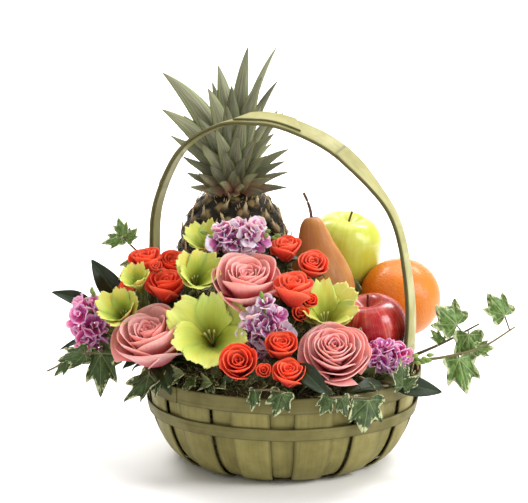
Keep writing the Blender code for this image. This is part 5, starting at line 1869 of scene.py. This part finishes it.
class BASKET_OT_bed(bpy.types.Operator):
    """Builds the moss bed, its strands and the small leaves between the flowers"""

    bl_idname = "basket.bed"
    bl_label = "Moss and filler greens"

    def execute(self, context):
        look = context.scene.greens_look
        draw = random.Random(500)
        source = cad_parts["moss_bed"]
        bm = bmesh.new()
        bm.from_mesh(source.data)
        bmesh.ops.remove_doubles(bm, verts=bm.verts, dist=1e-5)
        bmesh.ops.triangulate(bm, faces=bm.faces)
        bm.normal_update()
        if not bm.faces:
            raise RuntimeError("the moss bed's frame node has no faces")
        spots = bed_spots(bm, look.tufts, draw)
        leaf_spots = bed_spots(bm, look.fillers, draw)
        bmesh.ops.subdivide_edges(bm, edges=bm.edges, cuts=3, use_grid_fill=True)
        bm.normal_update()
        for vert in bm.verts:
            lump = noise.fractal(vert.co * 70, 1.0, 2.0, 4)
            vert.co += vert.normal * lump * 0.0022
        core = place_mesh("moss_core", bm, moss_finish(look.moss))
        register_piece(core, ["moss_bed"])

        mould = Mould("run", "side", "tint")
        for point, normal in spots:
            lay = Vector((draw.gauss(0, 1), draw.gauss(0, 1), draw.gauss(0, 0.5)))
            lay = (normal * 0.55 + lay * 0.6).normalized()
            side = lay.cross(normal).normalized()
            length = draw.uniform(0.004, 0.0095)
            wide = draw.uniform(0.0003, 0.0008)
            curl = draw.uniform(-0.9, 0.9)
            tint = draw.random()

            def shape(u, v):
                bend = normal * (0.35 * length * sin(pi * v)) + side * curl * length * v * v * 0.5
                spot = point + lay * length * v + bend + side * u * wide * (1 - v * 0.8)
                return spot, v, u, tint

            mould.sheet(1, 3, shape)
        mould.piece("moss_strands", strand_finish(look.moss), "moss", (), 0.0003)

        mould = Mould(*LEAF_GUIDES)
        for point, normal in leaf_spots:
            lay = Vector((draw.gauss(0, 1), draw.gauss(0, 1), draw.gauss(0, 0.7)))
            along = (lay - normal * lay.dot(normal) * 0.75 + normal * 0.35).normalized()
            length = draw.uniform(0.010, 0.021)
            across = along.cross(normal).normalized()
            face = across.cross(along).normalized()
            broad_leaf(mould, point - along * 0.003, along * length, across, face, length * 0.5, draw, 0.10,
                       (6, 12))
        for base, tip, width in FILLER_BLADES:
            start, along, across, face = leaf_frame(base, tip, 20)
            broad_leaf(mould, start, along, across, face, width * MM, draw, grid=(8, 20))
        filler = leaf_finish("Filler leaves", (0.040, 0.060, 0.018), (0.17, 0.21, 0.068), (0.24, 0.28, 0.12),
                             (0.44, 0.44, 0.23), 0.88, 0.45)
        mould.piece("filler_leaves", filler, "dark_leaf", (), look.leaf_thick)
        return {"FINISHED"}


# ---------------------------------------------------------------- stage


class BASKET_OT_stage(bpy.types.Operator):
    """Sets the pale floor, the soft studio lights and the camera"""

    bl_idname = "basket.stage"
    bl_label = "Stage"

    def execute(self, context):
        look = context.scene.stage_look
        scene = context.scene
        made, tree, shader = start_finish("Pale floor", 0.75)
        where = object_place(tree)
        tone = step(tree, cloud(tree, where, 3.0, 2.0), 0.3, 0.7, 0.985, 1.0)
        colour = lit(tree, rgba(look.floor), tone)
        dress(tree, shader, colour)
        mould = Mould()

        def sweep(u, v):
            # A level floor that curves up behind the basket into a backdrop.
            run = v * 9.0 - 3.0
            bend = max(0.0, min(1.0, (run - 2.5) / 2.4))
            y = run if run < 2.5 else 2.5 + 1.5 * sin(bend * pi / 2)
            z = 1.5 * (1 - cos(bend * pi / 2)) + max(0.0, run - 4.9)
            return (FACING_TURN @ Vector((u * 5.0, y, z - 0.0005)),)

        mould.sheet(8, 60, sweep)
        floor = place_mesh("floor", mould.bm, made)

        world = bpy.data.worlds.new("Studio")
        world.use_nodes = True
        back = world.node_tree.nodes["Background"]
        back.inputs["Color"].default_value = rgba(STUDIO_AIR)
        back.inputs["Strength"].default_value = STUDIO_GLOW
        scene.world = world
        for name, (place, size, share, target) in LIGHTS.items():
            light = bpy.data.lights.new(name, "AREA")
            light.shape = "DISK"
            light.size = size
            light.energy = look.key * share
            lamp = bpy.data.objects.new(name, light)
            lamp.location = FACING_TURN @ Vector(place)
            look_at = FACING_TURN @ Vector(target) - lamp.location
            lamp.rotation_euler = look_at.to_track_quat("-Z", "Y").to_euler()
            scene.collection.objects.link(lamp)

        camera_data = bpy.data.cameras.new("camera")
        camera_data.lens = look.lens
        camera_data.sensor_width = 36.0
        camera = bpy.data.objects.new("camera", camera_data)
        camera.location = bouquet(0, -look.distance / MM, look.rise / MM)
        # The basket's rim lies a little right of and below the middle of the view.
        down = radians(90.0 - CAMERA_DOWN)
        camera.rotation_euler = (down, 0.0, radians(FACING + CAMERA_LEFT))
        scene.collection.objects.link(camera)
        scene.camera = camera
        scene.view_settings.view_transform = "Standard"
        return {"FINISHED"}


class BASKET_PT_panel(bpy.types.Panel):
    """The basket's sizes, colours and building steps"""

    bl_idname = "BASKET_PT_panel"
    bl_label = "Fruit and flower basket"
    bl_space_type = "VIEW_3D"
    bl_region_type = "UI"
    bl_category = "Basket"

    def draw(self, context):
        for key, group in SETTINGS.items():
            box = self.layout.box()
            box.label(text=group.__doc__)
            for name in group.__annotations__:
                box.prop(getattr(context.scene, key), name)
        for operator in OPERATORS:
            self.layout.operator(operator.bl_idname)


OPERATORS = (
    BASKET_OT_stage,
    BASKET_OT_splints,
    BASKET_OT_handle,
    BASKET_OT_pineapple,
    BASKET_OT_fruit,
    BASKET_OT_roses,
    BASKET_OT_gladiolus,
    BASKET_OT_stock,
    BASKET_OT_leaves,
    BASKET_OT_bed,
)
CLASSES = (*SETTINGS.values(), *OPERATORS, BASKET_PT_panel)


def register():
    for made in CLASSES:
        bpy.utils.register_class(made)
    for key, group in SETTINGS.items():
        setattr(bpy.types.Scene, key, PointerProperty(type=group))


def unregister():
    for key in SETTINGS:
        delattr(bpy.types.Scene, key)
    for made in reversed(CLASSES):
        bpy.utils.unregister_class(made)


def main():
    for old in [obj for obj in bpy.data.objects if obj.type in ("LIGHT", "CAMERA")]:
        bpy.data.objects.remove(old)
    register()
    for operator in OPERATORS:
        getattr(bpy.ops.basket, operator.bl_idname.split(".")[1])()


if __name__ == "__main__":
    main()
